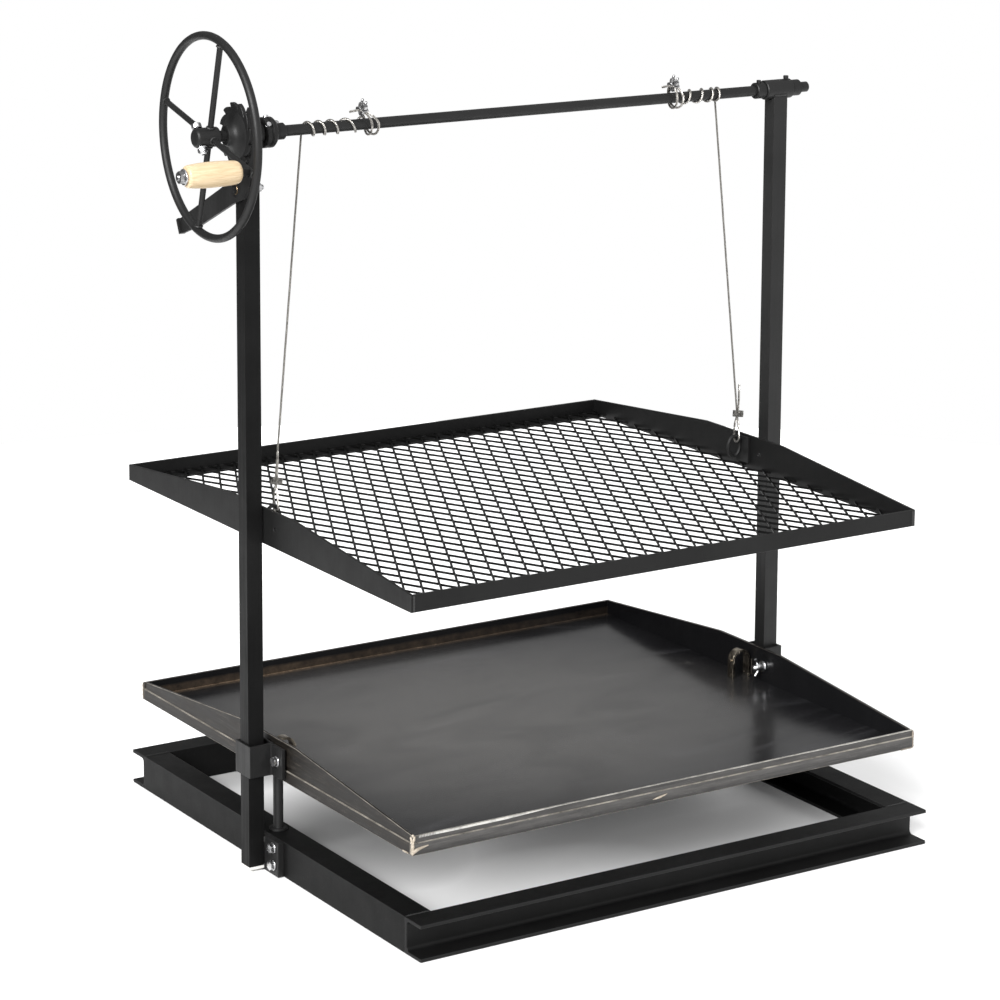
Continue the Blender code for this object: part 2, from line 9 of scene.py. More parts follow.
import bmesh
import bpy
from mathutils import Matrix, Vector
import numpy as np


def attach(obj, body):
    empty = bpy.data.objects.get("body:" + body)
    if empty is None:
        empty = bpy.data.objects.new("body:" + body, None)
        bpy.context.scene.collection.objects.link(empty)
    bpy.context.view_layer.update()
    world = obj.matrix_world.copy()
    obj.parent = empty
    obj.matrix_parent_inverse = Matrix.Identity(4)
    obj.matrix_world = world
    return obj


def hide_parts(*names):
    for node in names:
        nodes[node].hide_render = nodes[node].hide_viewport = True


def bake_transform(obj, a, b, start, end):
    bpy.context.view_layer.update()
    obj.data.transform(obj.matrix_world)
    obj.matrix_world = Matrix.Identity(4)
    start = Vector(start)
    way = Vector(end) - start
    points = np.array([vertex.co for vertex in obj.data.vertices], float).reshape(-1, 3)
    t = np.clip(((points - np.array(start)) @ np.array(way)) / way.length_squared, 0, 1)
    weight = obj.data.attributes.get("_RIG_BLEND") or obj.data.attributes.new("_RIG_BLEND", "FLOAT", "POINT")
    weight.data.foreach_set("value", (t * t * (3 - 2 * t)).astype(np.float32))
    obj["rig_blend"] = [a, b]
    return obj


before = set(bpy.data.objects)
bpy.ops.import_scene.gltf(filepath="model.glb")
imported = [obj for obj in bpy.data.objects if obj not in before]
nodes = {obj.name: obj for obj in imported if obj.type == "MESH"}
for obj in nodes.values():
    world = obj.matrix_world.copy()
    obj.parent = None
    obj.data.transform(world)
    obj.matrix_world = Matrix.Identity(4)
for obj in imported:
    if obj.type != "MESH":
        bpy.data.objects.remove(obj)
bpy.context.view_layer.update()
rng = random.Random(7)

# ================================================================ sizes, as in the CAD, in millimetres
MM = 0.001
SHAFT_Z, SHAFT_R, BORE_R, WRAP_R = 1083.5, 8.0, 8.35, 9.85
WHEEL_X, WHEEL_R, RIM_R, TILT = -522.0, 142.0, 6.0, math.radians(14.8)
HUB_X = (-546.0, -510.0)
HUB_BOLT_X, HUB_BOLT_TURN = -537.5, -30.2
GRIP_OUT = 122.7  # from the shaft's axis to the grip's
GRIP_Y, GRIP_Z = -GRIP_OUT * math.cos(TILT), SHAFT_Z - GRIP_OUT * math.sin(TILT)
GRIP_X = (-620.5, -538.5)
PIVOT_Z = 1006.0
TRAY_X, TRAY_Y, TRAY_Z = 434.0, 405.0, 142.0  # half width, half depth and underside
TRAY_BAND_Z = 159.5  # top of the doubled foot of the tray's walls
TRAY_BOLT_Y, TRAY_BOLT_Z = -39.0, 172.0
GRATE_X, GRATE_Y = (-446.5, 414.5), 421.7
LUG_Z = 525.0
CABLES = {
    "left": {"sign": 1, "top": -370.0, "low": -421.0, "pitches": (17.5, 19.0, 22.0, 32.0),
             "loop": -263.0, "lean": -14.0, "rise": 21.0},
    "right": {"sign": -1, "top": 352.0, "low": 398.0, "pitches": (-9.0, -17.0, -22.0, -24.0),
              "loop": 270.0, "lean": -3.0, "rise": 19.0},
}


# ================================================================ camera, light and ground
AZIMUTH, ELEVATION, ROLL = map(math.radians, (-32.93, 10.35, 0.40))
LENS, SHIFT_X, SHIFT_Y = 124.77, -0.0315, -0.2577
EYE = (-2.7409, -4.2533, 1.8101)
BRIGHT_SIDE = (0.54, -0.84, 0.0)  # the front right of the studio
WORLD_DARK, WORLD_BRIGHT = 0.14, 1.0  # its strength at the back left and at the front right
KEY_FROM, KEY_STRENGTH, KEY_WIDTH = (-0.76, -0.42, 0.48), 5.8, 32
FILL_FROM, FILL_STRENGTH, FILL_WIDTH = (0.40, 0.75, 0.52), 2.1, 30
FLOOR_R, FLOOR_Z = 2.6, -0.0005


def add_camera():
    data = bpy.data.cameras.new("camera")
    data.lens, data.sensor_width = LENS, 36.0
    data.shift_x, data.shift_y = SHIFT_X, SHIFT_Y
    data.clip_start, data.clip_end = 0.1, 60.0
    cam = bpy.data.objects.new("camera", data)
    bpy.context.scene.collection.objects.link(cam)
    a, e = AZIMUTH, ELEVATION
    back = Vector((math.sin(a) * math.cos(e), -math.cos(a) * math.cos(e), math.sin(e)))
    right = Vector((math.cos(a), math.sin(a), 0.0))
    up = back.cross(right)
    c, s = math.cos(ROLL), math.sin(ROLL)
    right, up = right * c + up * s, up * c - right * s
    matrix = Matrix((right, up, back)).transposed().to_4x4()
    matrix.translation = Vector(EYE)
    cam.matrix_world = matrix
    bpy.context.scene.camera = cam


def add_sun(name, origin, strength, width, mirrored=True):
    """A soft distant light from a direction, its width in degrees; mirrored keeps it in reflections."""
    data = bpy.data.lights.new(name, "SUN")
    data.energy, data.angle = strength, math.radians(width)
    lamp = bpy.data.objects.new(name, data)
    bpy.context.scene.collection.objects.link(lamp)
    lamp.rotation_euler = Vector(origin).to_track_quat("Z", "Y").to_euler()
    lamp.visible_glossy = mirrored


def add_surroundings():
    """A white studio: brighter to the front right, and plain white where the camera sees it."""
    world = bpy.data.worlds.new("studio")
    world.use_nodes = True
    tree, link = world.node_tree, world.node_tree.links.new
    light = tree.nodes["Background"]
    ways = tree.nodes.new("ShaderNodeTexCoord").outputs["Generated"]
    facing = tree.nodes.new("ShaderNodeVectorMath")
    facing.operation = "DOT_PRODUCT"
    facing.inputs[1].default_value = BRIGHT_SIDE
    link(ways, facing.inputs[0])
    spread = tree.nodes.new("ShaderNodeMapRange")
    link(facing.outputs["Value"], spread.inputs["Value"])
    spread.inputs["From Min"].default_value = -1.0
    spread.inputs["To Min"].default_value = WORLD_DARK
    spread.inputs["To Max"].default_value = WORLD_BRIGHT
    seen = tree.nodes.new("ShaderNodeLightPath").outputs["Is Camera Ray"]
    either = tree.nodes.new("ShaderNodeMix")
    link(seen, either.inputs[0])
    link(spread.outputs[0], either.inputs[2])
    either.inputs[3].default_value = 1.0
    light.inputs["Color"].default_value = (1.0, 1.0, 1.0, 1.0)
    link(either.outputs[0], light.inputs["Strength"])
    bpy.context.scene.world = world
    bm = bmesh.new()
    bmesh.ops.create_circle(bm, cap_ends=True, radius=FLOOR_R, segments=96)
    mesh = bpy.data.meshes.new("floor")
    bm.to_mesh(mesh)
    bm.free()
    floor = bpy.data.objects.new("floor", mesh)
    floor.location.z = FLOOR_Z
    bpy.context.scene.collection.objects.link(floor)
    floor.data.materials.append(paper_white())
    add_sun("key", KEY_FROM, KEY_STRENGTH, KEY_WIDTH)
    add_sun("fill", FILL_FROM, FILL_STRENGTH, FILL_WIDTH, mirrored=False)
    settings = bpy.context.scene.view_settings
    settings.view_transform, settings.look = "Standard", "None"


# ================================================================ materials
class Shader:
    """Builds one node material. Numbers go on sockets, and sockets join by assignment."""

    def __init__(self, name, **values):
        self.material = bpy.data.materials.new(name)
        self.material.use_nodes = True
        self.tree = self.material.node_tree
        self.surface = self.tree.nodes["Principled BSDF"]
        self.set(self.surface, values)
        self.place = self.add("ShaderNodeTexCoord").outputs["Object"]

    def add(self, kind, settings=(), **values):
        made = self.tree.nodes.new(kind)
        for key, value in dict(settings).items():
            setattr(made, key, value)
        self.set(made, values)
        return made

    def set(self, made, values):
        for key, value in values.items():
            socket = made.inputs[int(key[1:]) if key[0] == "i" and key[1:].isdigit()
                                 else key.replace("_", " ")]
            if isinstance(value, bpy.types.NodeSocket):
                self.tree.links.new(value, socket)
            elif isinstance(value, tuple) and len(value) == 3 and socket.type == "RGBA":
                socket.default_value = (*value, 1.0)
            else:
                socket.default_value = value

    def scaled(self, x, y, z, source=None):
        return self.add("ShaderNodeMapping", Vector=source or self.place, Scale=(x, y, z)).outputs[0]

    def noise(self, scale, detail=4.0, rough=0.55, where=None, distortion=0.0):
        return self.add("ShaderNodeTexNoise", Vector=where or self.place, Scale=scale,
                        Detail=detail, Roughness=rough, Distortion=distortion).outputs[0]

    def ramp(self, value, *stops):
        """A colour ramp of (position, colour) stops; a single number is a grey."""
        made = self.add("ShaderNodeValToRGB", Fac=value)
        elements = made.color_ramp.elements
        while len(elements) < len(stops):
            elements.new(0.5)
        for element, (position, colour) in zip(elements, stops):
            element.position = position
            colour = colour if isinstance(colour, tuple) else (colour,) * 3
            element.color = (*colour, 1.0)
        return made.outputs[0]

    def mix(self, share, a, b, how="MIX"):
        made = self.add("ShaderNodeMix", {"data_type": "RGBA", "blend_type": how})
        self.set(made, {"i0": share, "i6": a, "i7": b})
        return made.outputs[2]

    def math(self, how, a, b=0.0, c=0.0):
        return self.add("ShaderNodeMath", {"operation": how}, i0=a, i1=b, i2=c).outputs[0]

    def axes(self):
        return self.add("ShaderNodeSeparateXYZ", Vector=self.place).outputs

    def bump(self, height, distance, strength=1.0, below=None):
        made = self.add("ShaderNodeBump", Height=height, Distance=distance, Strength=strength)
        if below is not None:
            self.set(made, {"Normal": below})
        return made.outputs[0]

    def finish(self, **values):
        self.set(self.surface, values)
        return self.material


def paper_white():
    """White paper, with painted shadow (soft grey patches) under the tray inside the base, and painted light:
    the paper emits a little everywhere, and more in one pool there.
    """
    s = Shader("paper_white", Roughness=0.9)
    x, y, _ = s.axes()

    def hill(at_x, at_y, wide, deep):
        """1 at a place and 0 beyond an ellipse round it."""
        u = s.math("DIVIDE", s.math("SUBTRACT", x, at_x), wide)
        v = s.math("DIVIDE", s.math("SUBTRACT", y, at_y), deep)
        square = s.math("ADD", s.math("MULTIPLY", u, u), s.math("MULTIPLY", v, v))
        return s.ramp(square, (0.05, 1.0), (1.0, 0.0))

    # painted shadow: three soft grey patches on the paper inside the base
    left = hill(-0.27, 0.05, 0.15, 0.26)
    front = s.math("MULTIPLY", hill(0.22, -0.27, 0.34, 0.13), 0.5)
    rear = s.math("MULTIPLY", hill(-0.30, 0.40, 0.12, 0.14), 0.5)
    shade = s.math("MULTIPLY", s.math("MAXIMUM", s.math("MAXIMUM", front, left), rear), 0.72)
    # painted light: a faint emission all over the paper, stronger in a pool at the base's front left
    painted_light = s.math("MULTIPLY_ADD", hill(-0.11, -0.25, 0.20, 0.12), 0.11, 0.04)
    cloud = s.ramp(s.noise(0.8), (0.3, 0.90), (0.7, 0.92))
    return s.finish(Base_Color=s.mix(shade, cloud, (0.02, 0.02, 0.02)), Emission_Color=painted_light,
                    Emission_Strength=1.0)


def black_coat(name, low, high, rough=(0.42, 0.58), grain=900.0, dust=0.0, shine=0.35, drawn=0.06):
    """Powder coat: a fine orange peel, faint drawn streaks, uneven gloss and a little pale dust."""
    s = Shader(name)
    s.set(s.surface, {"Specular_IOR_Level": shine})
    patches = s.noise(9.0, 5.0, 0.6)
    colour = s.ramp(patches, (0.3, low), (0.72, high))
    if dust:
        specks = s.ramp(s.noise(160.0, 6.0, 0.75), (0.60, 0.0), (0.74, dust))
        colour = s.mix(specks, colour, (0.30, 0.29, 0.27))
    streaks = s.noise(3.0, 5.0, 0.7, s.scaled(70.0, 70.0, 1.2))
    gloss = s.mix(0.5, s.ramp(s.noise(30.0, 4.0), (0.3, rough[0]), (0.7, rough[1])),
                  s.ramp(streaks, (0.35, rough[0] - drawn), (0.65, rough[1] + drawn)))
    peel = s.bump(s.noise(grain, 2.0), 0.00012, 0.55)
    return s.finish(Base_Color=colour, Roughness=gloss, Normal=peel)


def scale_plate(s, low, high, marks=1.0):
    """Colour and gloss of dark mill scale: cloudy, wiped in places, with a few curved scratches."""
    cloud = s.noise(3.0, 5.0, 0.55, distortion=0.8)
    fine = s.noise(55.0, 8.0, 0.7)
    colour = s.ramp(cloud, (0.30, low), (0.75, high))
    smear = s.noise(2.6, 6.0, 0.62, s.scaled(1.0, 3.2, 1.0), 1.8)
    colour = s.mix(s.ramp(smear, (0.56, 0.0), (0.72, 0.7 * marks)), colour, tuple(2.6 * v for v in high))
    curve = s.noise(4.0, 3.0, 0.5, s.scaled(2.4, 1.0, 1.0), 2.6)
    lines = s.ramp(curve, (0.498, 0.0), (0.501, 1.0), (0.504, 0.0))
    broken = s.ramp(s.noise(6.0, 3.0, 0.6), (0.54, 0.0), (0.62, 0.5 * marks))
    colour = s.mix(s.math("MULTIPLY", lines, broken), colour, (0.11, 0.104, 0.096))
    gloss = s.mix(0.35, s.ramp(cloud, (0.3, 0.14), (0.7, 0.21)), s.ramp(fine, (0.35, 0.13), (0.7, 0.25)))
    gloss = s.mix(s.ramp(smear, (0.48, 0.0), (0.66, 0.45 * marks)), gloss, (0.34, 0.34, 0.34))
    low_bump = s.bump(s.noise(5.0, 2.0), 0.0012, 0.12)
    return colour, gloss, s.bump(fine, 0.00008, 0.12, low_bump)


def tint_and_reflection_band(s, colour, limit_x, limit_y, foot=None):
    """Brown along the welded corner of the rear wall, strongest at its left end: partly heat tint, partly
    painted reflection.
    """
    x, y, z = s.axes()
    wobble = s.math("MULTIPLY", s.math("SUBTRACT", s.noise(14.0, 5.0, 0.7), 0.5), 0.008)
    near = s.math("MINIMUM", s.math("ADD", limit_x, x), s.math("SUBTRACT", limit_y, y))
    if foot is not None:
        near = s.math("MAXIMUM", near, s.math("SUBTRACT", z, foot))
    near = s.math("ADD", near, wobble)
    share = s.ramp(s.math("MULTIPLY", near, 50.0), (0.14, 1.0), (0.24, 0.55), (0.80, 0.0))
    reach = s.math("SUBTRACT", x, s.math("MULTIPLY", y, 1.6))
    share = s.math("MULTIPLY", share, s.ramp(s.math("ADD", reach, 0.9), (0.10, 1.0), (0.85, 0.10)))
    brown = s.ramp(s.noise(60.0, 6.0, 0.7), (0.3, (0.050, 0.034, 0.022)), (0.7, (0.200, 0.142, 0.094)))
    return s.mix(share, colour, brown)


def floor_plate():
    """Tray floor: dark scale, paler round a middle as a painted reflection, broken up in blots, with a few
    dark swirls.
    """
    s = Shader("raw_plate_floor")
    s.set(s.surface, {"Specular_IOR_Level": 0.44})
    colour, gloss, normal = scale_plate(s, (0.005, 0.005, 0.0055), (0.012, 0.012, 0.013))
    x, y, _ = s.axes()
    # painted reflection: a pale patch round the middle of the floor, fading out towards its edges and the
    # rear
    across = s.math("POWER", s.math("MULTIPLY", s.math("ADD", x, 0.05), 1.9), 2.0)
    deep = s.math("POWER", s.math("MULTIPLY", s.math("SUBTRACT", y, 0.02), 2.15), 2.0)
    painted_sheen_and_swirls = s.ramp(s.math("ADD", across, deep), (0.02, (0.054, 0.052, 0.049)), (0.85, 0.0))
    blots = s.noise(3.4, 8.0, 0.62, s.scaled(1.0, 2.2, 1.0), 1.5)
    painted_sheen_and_swirls = s.mix(1.0, painted_sheen_and_swirls, s.ramp(blots, (0.38, 0.74), (0.52, 1.0), (0.68, 1.10)), "MULTIPLY")
    bands = s.noise(3.1, 3.0, 0.5, s.scaled(1.3, 2.2, 1.0), 3.0)
    swirl = s.ramp(bands, (0.488, 0.0), (0.500, 0.55), (0.512, 0.0))
    painted_sheen_and_swirls = s.mix(s.math("MULTIPLY", swirl, s.noise(5.0)), painted_sheen_and_swirls, (0.006, 0.006, 0.006))
    colour = s.mix(1.0, colour, painted_sheen_and_swirls, "ADD")
    # the brown corner band on the floor is partly heat tint, partly painted reflection
    return s.finish(Base_Color=tint_and_reflection_band(s, colour, 0.430, 0.401), Roughness=gloss, Normal=normal)


def wall_plate(name, outer_low, outer_high, bright_top, metallic, band_highlight_colour, hair_colour):
    """Tray wall: dark scale inside, wiped steel outside, with a thin painted highlight along the top of the
    doubled foot.

    bright_top adds the pale edge of the front wall, which is wider and ridged towards its left end.
    """
    s = Shader(name)
    s.set(s.surface, {"Specular_IOR_Level": 0.42 if bright_top else 0.21})
    x, y, z = s.axes()
    colour, gloss, normal = scale_plate(s, (0.003, 0.003, 0.0035), (0.007, 0.007, 0.0075), 0.1)
    # the brown corner band low on the walls is partly heat tint, partly painted reflection
    colour = tint_and_reflection_band(s, colour, 0.4415, 0.4125, 0.1455)
    out = s.math("MAXIMUM", s.math("SUBTRACT", s.math("ABSOLUTE", x), (TRAY_X - 1.5) * MM),
                 s.math("SUBTRACT", s.math("ABSOLUTE", y), (TRAY_Y - 1.5) * MM))
    outside = s.math("GREATER_THAN", out, 0.0)
    smear = s.noise(1.0, 7.0, 0.65, s.scaled(14.0, 14.0, 160.0))
    wiped = s.ramp(smear, (0.30, outer_low), (0.70, outer_high))
    fade = s.add("ShaderNodeMapRange", Value=z, From_Min=0.142, From_Max=0.153, To_Min=0.32, To_Max=1.0)
    wiped = s.mix(1.0, wiped, fade.outputs[0], "MULTIPLY")
    upper = s.math("GREATER_THAN", z, TRAY_BAND_Z * MM)
    wiped = s.mix(s.math("MULTIPLY", upper, 0.35), wiped, tuple(0.5 * v for v in outer_low))
    hair = s.ramp(s.noise(5.0, 5.0, 0.8, s.scaled(3.0, 3.0, 420.0)), (0.57, 0.0), (0.64, 0.6))
    wiped = s.mix(hair, wiped, hair_colour)
    # painted highlight: a thin bright line along the top edge of the doubled foot, broken in places
    breaks = s.ramp(s.noise(3.0, 6.0, 0.8, s.scaled(20.0, 20.0, 0.0)), (0.40, 0.15), (0.50, 1.0))
    line = s.math("COMPARE", z, TRAY_BAND_Z * MM, 0.0007)
    wiped = s.mix(s.math("MULTIPLY", line, breaks), wiped, band_highlight_colour)
    if bright_top:
        width = s.add("ShaderNodeMapRange", Value=s.math("ADD", x, y), From_Min=-0.690, From_Max=-0.600,
                      To_Min=0.0042, To_Max=0.0014).outputs[0]
        edge = s.math("ADD", s.math("SUBTRACT", z, 0.1702), width)
        edge = s.math("ADD", edge, s.math("MULTIPLY", s.math("SUBTRACT", smear, 0.5), 0.0012))
        top = s.math("GREATER_THAN", edge, 0.0)
        ridge = s.math("MULTIPLY_ADD", s.math("SINE", s.math("MULTIPLY", x, 2600.0)), 0.5, 0.5)
        ridged = s.math("LESS_THAN", x, -0.398)
        top = s.math("MULTIPLY", top, s.math("SUBTRACT", 1.0, s.math("MULTIPLY", ridged, ridge)))
        top = s.math("MULTIPLY", top, s.math("GREATER_THAN", x, -0.424))
        top = s.math("MULTIPLY", top, s.ramp(s.noise(26.0, 6.0, 0.75), (0.40, 0.45), (0.56, 1.0)))
        wiped = s.mix(top, wiped, (0.56, 0.55, 0.52))
    colour = s.mix(outside, colour, wiped)
    gloss = s.mix(outside, gloss, s.ramp(smear, (0.3, 0.34), (0.7, 0.5)))
    return s.finish(Base_Color=colour, Roughness=gloss, Normal=normal,
                    Metallic=s.math("MULTIPLY", outside, metallic))


def bright_metal(name, dark, light, rough=(0.22, 0.42), grain=220.0, metallic=1.0):
    s = Shader(name, Metallic=metallic)
    grainy = s.noise(grain, 5.0, 0.65)
    colour = s.ramp(grainy, (0.3, dark), (0.68, light))
    return s.finish(Base_Color=colour, Roughness=s.ramp(s.noise(90.0), (0.3, rough[0]), (0.7, rough[1])),
                    Normal=s.bump(grainy, 0.0001, 0.35))


def weld_metal(name, dark, light, metallic):
    s = Shader(name, Metallic=metallic)
    mottled = s.noise(260.0, 6.0, 0.7)
    colour = s.ramp(mottled, (0.32, dark), (0.66, light))
    return s.finish(Base_Color=colour, Roughness=s.ramp(mottled, (0.3, 0.6), (0.7, 0.42)),
                    Normal=s.bump(mottled, 0.0004, 0.7))


def pale_wood():
    """Turned ash: long grain along X, growth lines and a thin clear varnish."""
    s = Shader("pale_wood", Coat_Weight=0.25, Coat_Roughness=0.25)
    long_grain = s.noise(9.0, 9.0, 0.62, s.scaled(4.0, 55.0, 55.0), 0.6)
    rings = s.add("ShaderNodeTexWave", {"wave_type": "RINGS", "rings_direction": "X"},
                  Vector=s.scaled(1.5, 12.0, 12.0), Scale=7.0, Distortion=7.0,
                  Detail=4.0, Detail_Scale=1.6).outputs[1]
    colour = s.ramp(long_grain, (0.32, (0.50, 0.365, 0.215)), (0.5, (0.62, 0.48, 0.300)),
                    (0.72, (0.69, 0.55, 0.370)))
    colour = s.mix(s.math("MULTIPLY", rings, 0.16), colour, (0.42, 0.30, 0.16))
    flecks = s.ramp(s.noise(30.0, 4.0, 0.6, s.scaled(3.0, 60.0, 60.0)), (0.66, 0.0), (0.74, 0.5))
    colour = s.mix(flecks, colour, (0.36, 0.23, 0.11))
    return s.finish(Base_Color=colour, Roughness=s.ramp(long_grain, (0.3, 0.5), (0.7, 0.36)),
                    Normal=s.bump(long_grain, 0.0002, 0.5))


def pale_plastic():
    s = Shader("pale_plastic", Roughness=0.5)
    return s.finish(Base_Color=s.ramp(s.noise(70.0), (0.3, (0.62, 0.61, 0.58)), (0.7, (0.76, 0.75, 0.72))),
                    Normal=s.bump(s.noise(600.0), 0.0001, 0.4))


COAT = black_coat("black_coat", 0.005, 0.010)
COAT_BASE = black_coat("black_coat_base", 0.0015, 0.0035, (0.50, 0.64), dust=0.05, shine=0.17, drawn=-0.05)
COAT_RAIL = black_coat("black_coat_rail", 0.0025, 0.005, (0.46, 0.60), shine=0.24, drawn=-0.04)
# painted shade: a darker, less glossy copy of the coat for the left post, which the key light strikes more
COAT_POST_SHADED = black_coat("black_coat_post_shaded", 0.0025, 0.006, shine=0.13, drawn=0.10)
# painted highlight: a slightly lighter, glossier copy of the coat for the bevelled edges
COAT_EDGE_HIGHLIGHT = black_coat("black_coat_edge_highlight", 0.006, 0.014, (0.36, 0.48), shine=0.25)
COAT_ROUGH = black_coat("black_coat_rough", 0.004, 0.008, (0.45, 0.6), 420.0)
MESH_COAT = black_coat("black_coat_mesh", 0.0012, 0.0025, (0.42, 0.56), 700.0, shine=0.12)
PLATE_FLOOR = floor_plate()
FRONT_WALL = wall_plate("raw_front_wall", (0.034, 0.033, 0.032), (0.090, 0.086, 0.083), True, 0.35,
                        (0.80, 0.78, 0.74), (0.22, 0.21, 0.20))
SIDE_WALL = wall_plate("raw_side_wall", (0.0024, 0.0021, 0.0018), (0.015, 0.012, 0.0098), False, 0.05,
                       (0.22, 0.20, 0.17), (0.13, 0.115, 0.095))
EDGE_WORN = bright_metal("worn_edge", (0.07, 0.062, 0.053), (0.40, 0.37, 0.32), (0.34, 0.5), 34.0, 0.6)
EDGE_DULL = bright_metal("dull_edge", (0.04, 0.036, 0.032), (0.10, 0.09, 0.08), (0.4, 0.5), 120.0, 0.5)
ZINC = bright_metal("zinc", (0.42, 0.42, 0.43), (0.86, 0.86, 0.87), (0.16, 0.32))
ZINC_DARK = bright_metal("zinc_dark", (0.14, 0.14, 0.145), (0.55, 0.55, 0.55), (0.2, 0.36))
ZINC_DULL = bright_metal("zinc_dull", (0.06, 0.057, 0.052), (0.34, 0.33, 0.31), (0.22, 0.4))
ROPE = bright_metal("rope_wire", (0.13, 0.12, 0.11), (0.70, 0.68, 0.64), (0.22, 0.4), 500.0)
BRONZE = bright_metal("bronze_strap", (0.13, 0.085, 0.045), (0.38, 0.28, 0.18), (0.24, 0.42), 120.0)
LOOP = bright_metal("tray_loop", (0.055, 0.043, 0.031), (0.60, 0.53, 0.43), (0.15, 0.30), 90.0)
ROPE_DROP = bright_metal("rope_drop_wire", (0.07, 0.065, 0.06), (0.24, 0.23, 0.21), (0.3, 0.45), 500.0, 0.6)
WOOD = pale_wood()
PLASTIC = pale_plastic()
WELD_RAW = weld_metal("weld_raw", (0.10, 0.08, 0.06), (0.34, 0.30, 0.25), 0.5)
WELD_PALE = weld_metal("weld_pale", (0.20, 0.165, 0.125), (0.52, 0.46, 0.38), 0.2)
WELD_DARK = weld_metal("weld_dark", (0.010, 0.008, 0.007), (0.040, 0.033, 0.026), 0.2)
WELD_BLACK = weld_metal("weld_black", (0.006, 0.006, 0.006), (0.016, 0.016, 0.016), 0.0)


# ================================================================ shapes
def piece(name, bm, body, material, stands_for=(), smooth=40.0):
    """Turns a bmesh in millimetres into a piece that rides on a body."""
    bmesh.ops.recalc_face_normals(bm, faces=bm.faces)
    bmesh.ops.scale(bm, vec=(MM, MM, MM), verts=bm.verts)
    mesh = bpy.data.meshes.new(name)
    bm.to_mesh(mesh)
    bm.free()
    mesh.shade_smooth()
    mesh.set_sharp_from_angle(angle=math.radians(smooth))
    obj = bpy.data.objects.new(name, mesh)
    bpy.context.scene.collection.objects.link(obj)
    for each in material if isinstance(material, (list, tuple)) else [material]:
        mesh.materials.append(each)
    if body:
        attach(obj, body)
    if stands_for:
        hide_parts(*stands_for)
    return obj


def add_solid(bm, points, faces, mark=0):
    """Adds corners and faces; mark is the number of the faces' material."""
    corners = [bm.verts.new(p) for p in points]
    for face in faces:
        bm.faces.new([corners[i] for i in face]).material_index = mark


def put(axis, u, v, along):
    """The point at along on an axis, and at u and v on the other two."""
    return {"x": (along, u, v), "y": (u, along, v), "z": (u, v, along)}[axis]


def add_lathe(bm, axis, u, v, profile, sides=48, mark=0):
    """A profile of (along, radius) pairs turned round a line; a radius of 0 closes an end."""
    rings, points, faces = [], [], []
    for along, radius in profile:
        ring = []
        for i in range(sides if radius > 0 else 1):
            a = 2 * math.pi * i / sides
            ring.append(len(points))
            points.append(put(axis, u + radius * math.cos(a), v + radius * math.sin(a), along))
        rings.append(ring)
    pairs = list(zip(rings, rings[1:]))
    if profile[0][1] > 0:
        pairs.append((rings[-1], rings[0]))
    for a, b in pairs:
        for i in range(sides):
            j = (i + 1) % sides
            face = list(dict.fromkeys((a[i % len(a)], a[j % len(a)], b[j % len(b)], b[i % len(b)])))
            if len(face) > 2:
                faces.append(face)
    add_solid(bm, points, faces, mark)


def add_prism(bm, axis, outline, low, high, mark=0):
    """A flat outline carried along an axis from low to high."""
    n = len(outline)
    points = [put(axis, u, v, low) for u, v in outline] + [put(axis, u, v, high) for u, v in outline]
    faces = [tuple(range(n)), tuple(range(n, 2 * n))]
    faces += [(i, (i + 1) % n, n + (i + 1) % n, n + i) for i in range(n)]
    add_solid(bm, points, faces, mark)


def add_tube(bm, path, radius, sides=10, closed=False, mark=0, wobble=None):
    """A round bar along a path. The radius may be a list, and wobble(ring, corner) swells it."""
    path = [Vector(p) for p in path]
    n = len(path)
    radii = radius if isinstance(radius, (list, tuple)) else [radius] * n
    ahead = [path[(i + 1) % n] if closed or i + 1 < n else path[i] for i in range(n)]
    behind = [path[(i - 1) % n] if closed or i else path[i] for i in range(n)]
    tangents = [(a - b).normalized() for a, b in zip(ahead, behind)]
    side = tangents[0].orthogonal().normalized()
    points, faces = [], []
    for i, (p, t) in enumerate(zip(path, tangents)):
        side = (side - t * side.dot(t)).normalized()
        up = t.cross(side)
        for k in range(sides):
            a = 2 * math.pi * k / sides
            r = radii[i] * (1 + (wobble(i, k) if wobble else 0.0))
            points.append(p + (side * math.cos(a) + up * math.sin(a)) * r)
    for i in range(n if closed else n - 1):
        a, b = i * sides, (i + 1) % n * sides
        faces += [(a + k, a + (k + 1) % sides, b + (k + 1) % sides, b + k) for k in range(sides)]
    if not closed:
        faces += [tuple(range(sides)), tuple(range((n - 1) * sides, n * sides))]
    add_solid(bm, points, faces, mark)


def add_rope(bm, path, radius=1.5, strands=6, lay=16.0, closed=False):
    """Stranded wire: a core, with helical strands laid round it once in each lay."""
    path = [Vector(p) for p in path]
    if closed:
        path = path + path[:1]
    fine, travelled = [], [0.0]
    for a, b in zip(path, path[1:]):
        steps = max(1, int((b - a).length / 1.6))
        fine += [a.lerp(b, i / steps) for i in range(steps)]
    fine.append(path[-1])
    for a, b in zip(fine, fine[1:]):
        travelled.append(travelled[-1] + (b - a).length)
    side = (fine[1] - fine[0]).orthogonal().normalized()
    frames = []
    for i, p in enumerate(fine):
        t = (fine[min(i + 1, len(fine) - 1)] - fine[max(i - 1, 0)]).normalized()
        side = (side - t * side.dot(t)).normalized()
        frames.append((p, side.copy(), t.cross(side)))
    add_tube(bm, [p for p, _, _ in frames], radius * 0.55, 6)
    for k in range(strands):
        line = []
        for (p, u, v), s in zip(frames, travelled):
            a = 2 * math.pi * (k / strands + s / lay)
            line.append(p + (u * math.cos(a) + v * math.sin(a)) * radius * 0.62)
        add_tube(bm, line, radius * 0.40, 5)


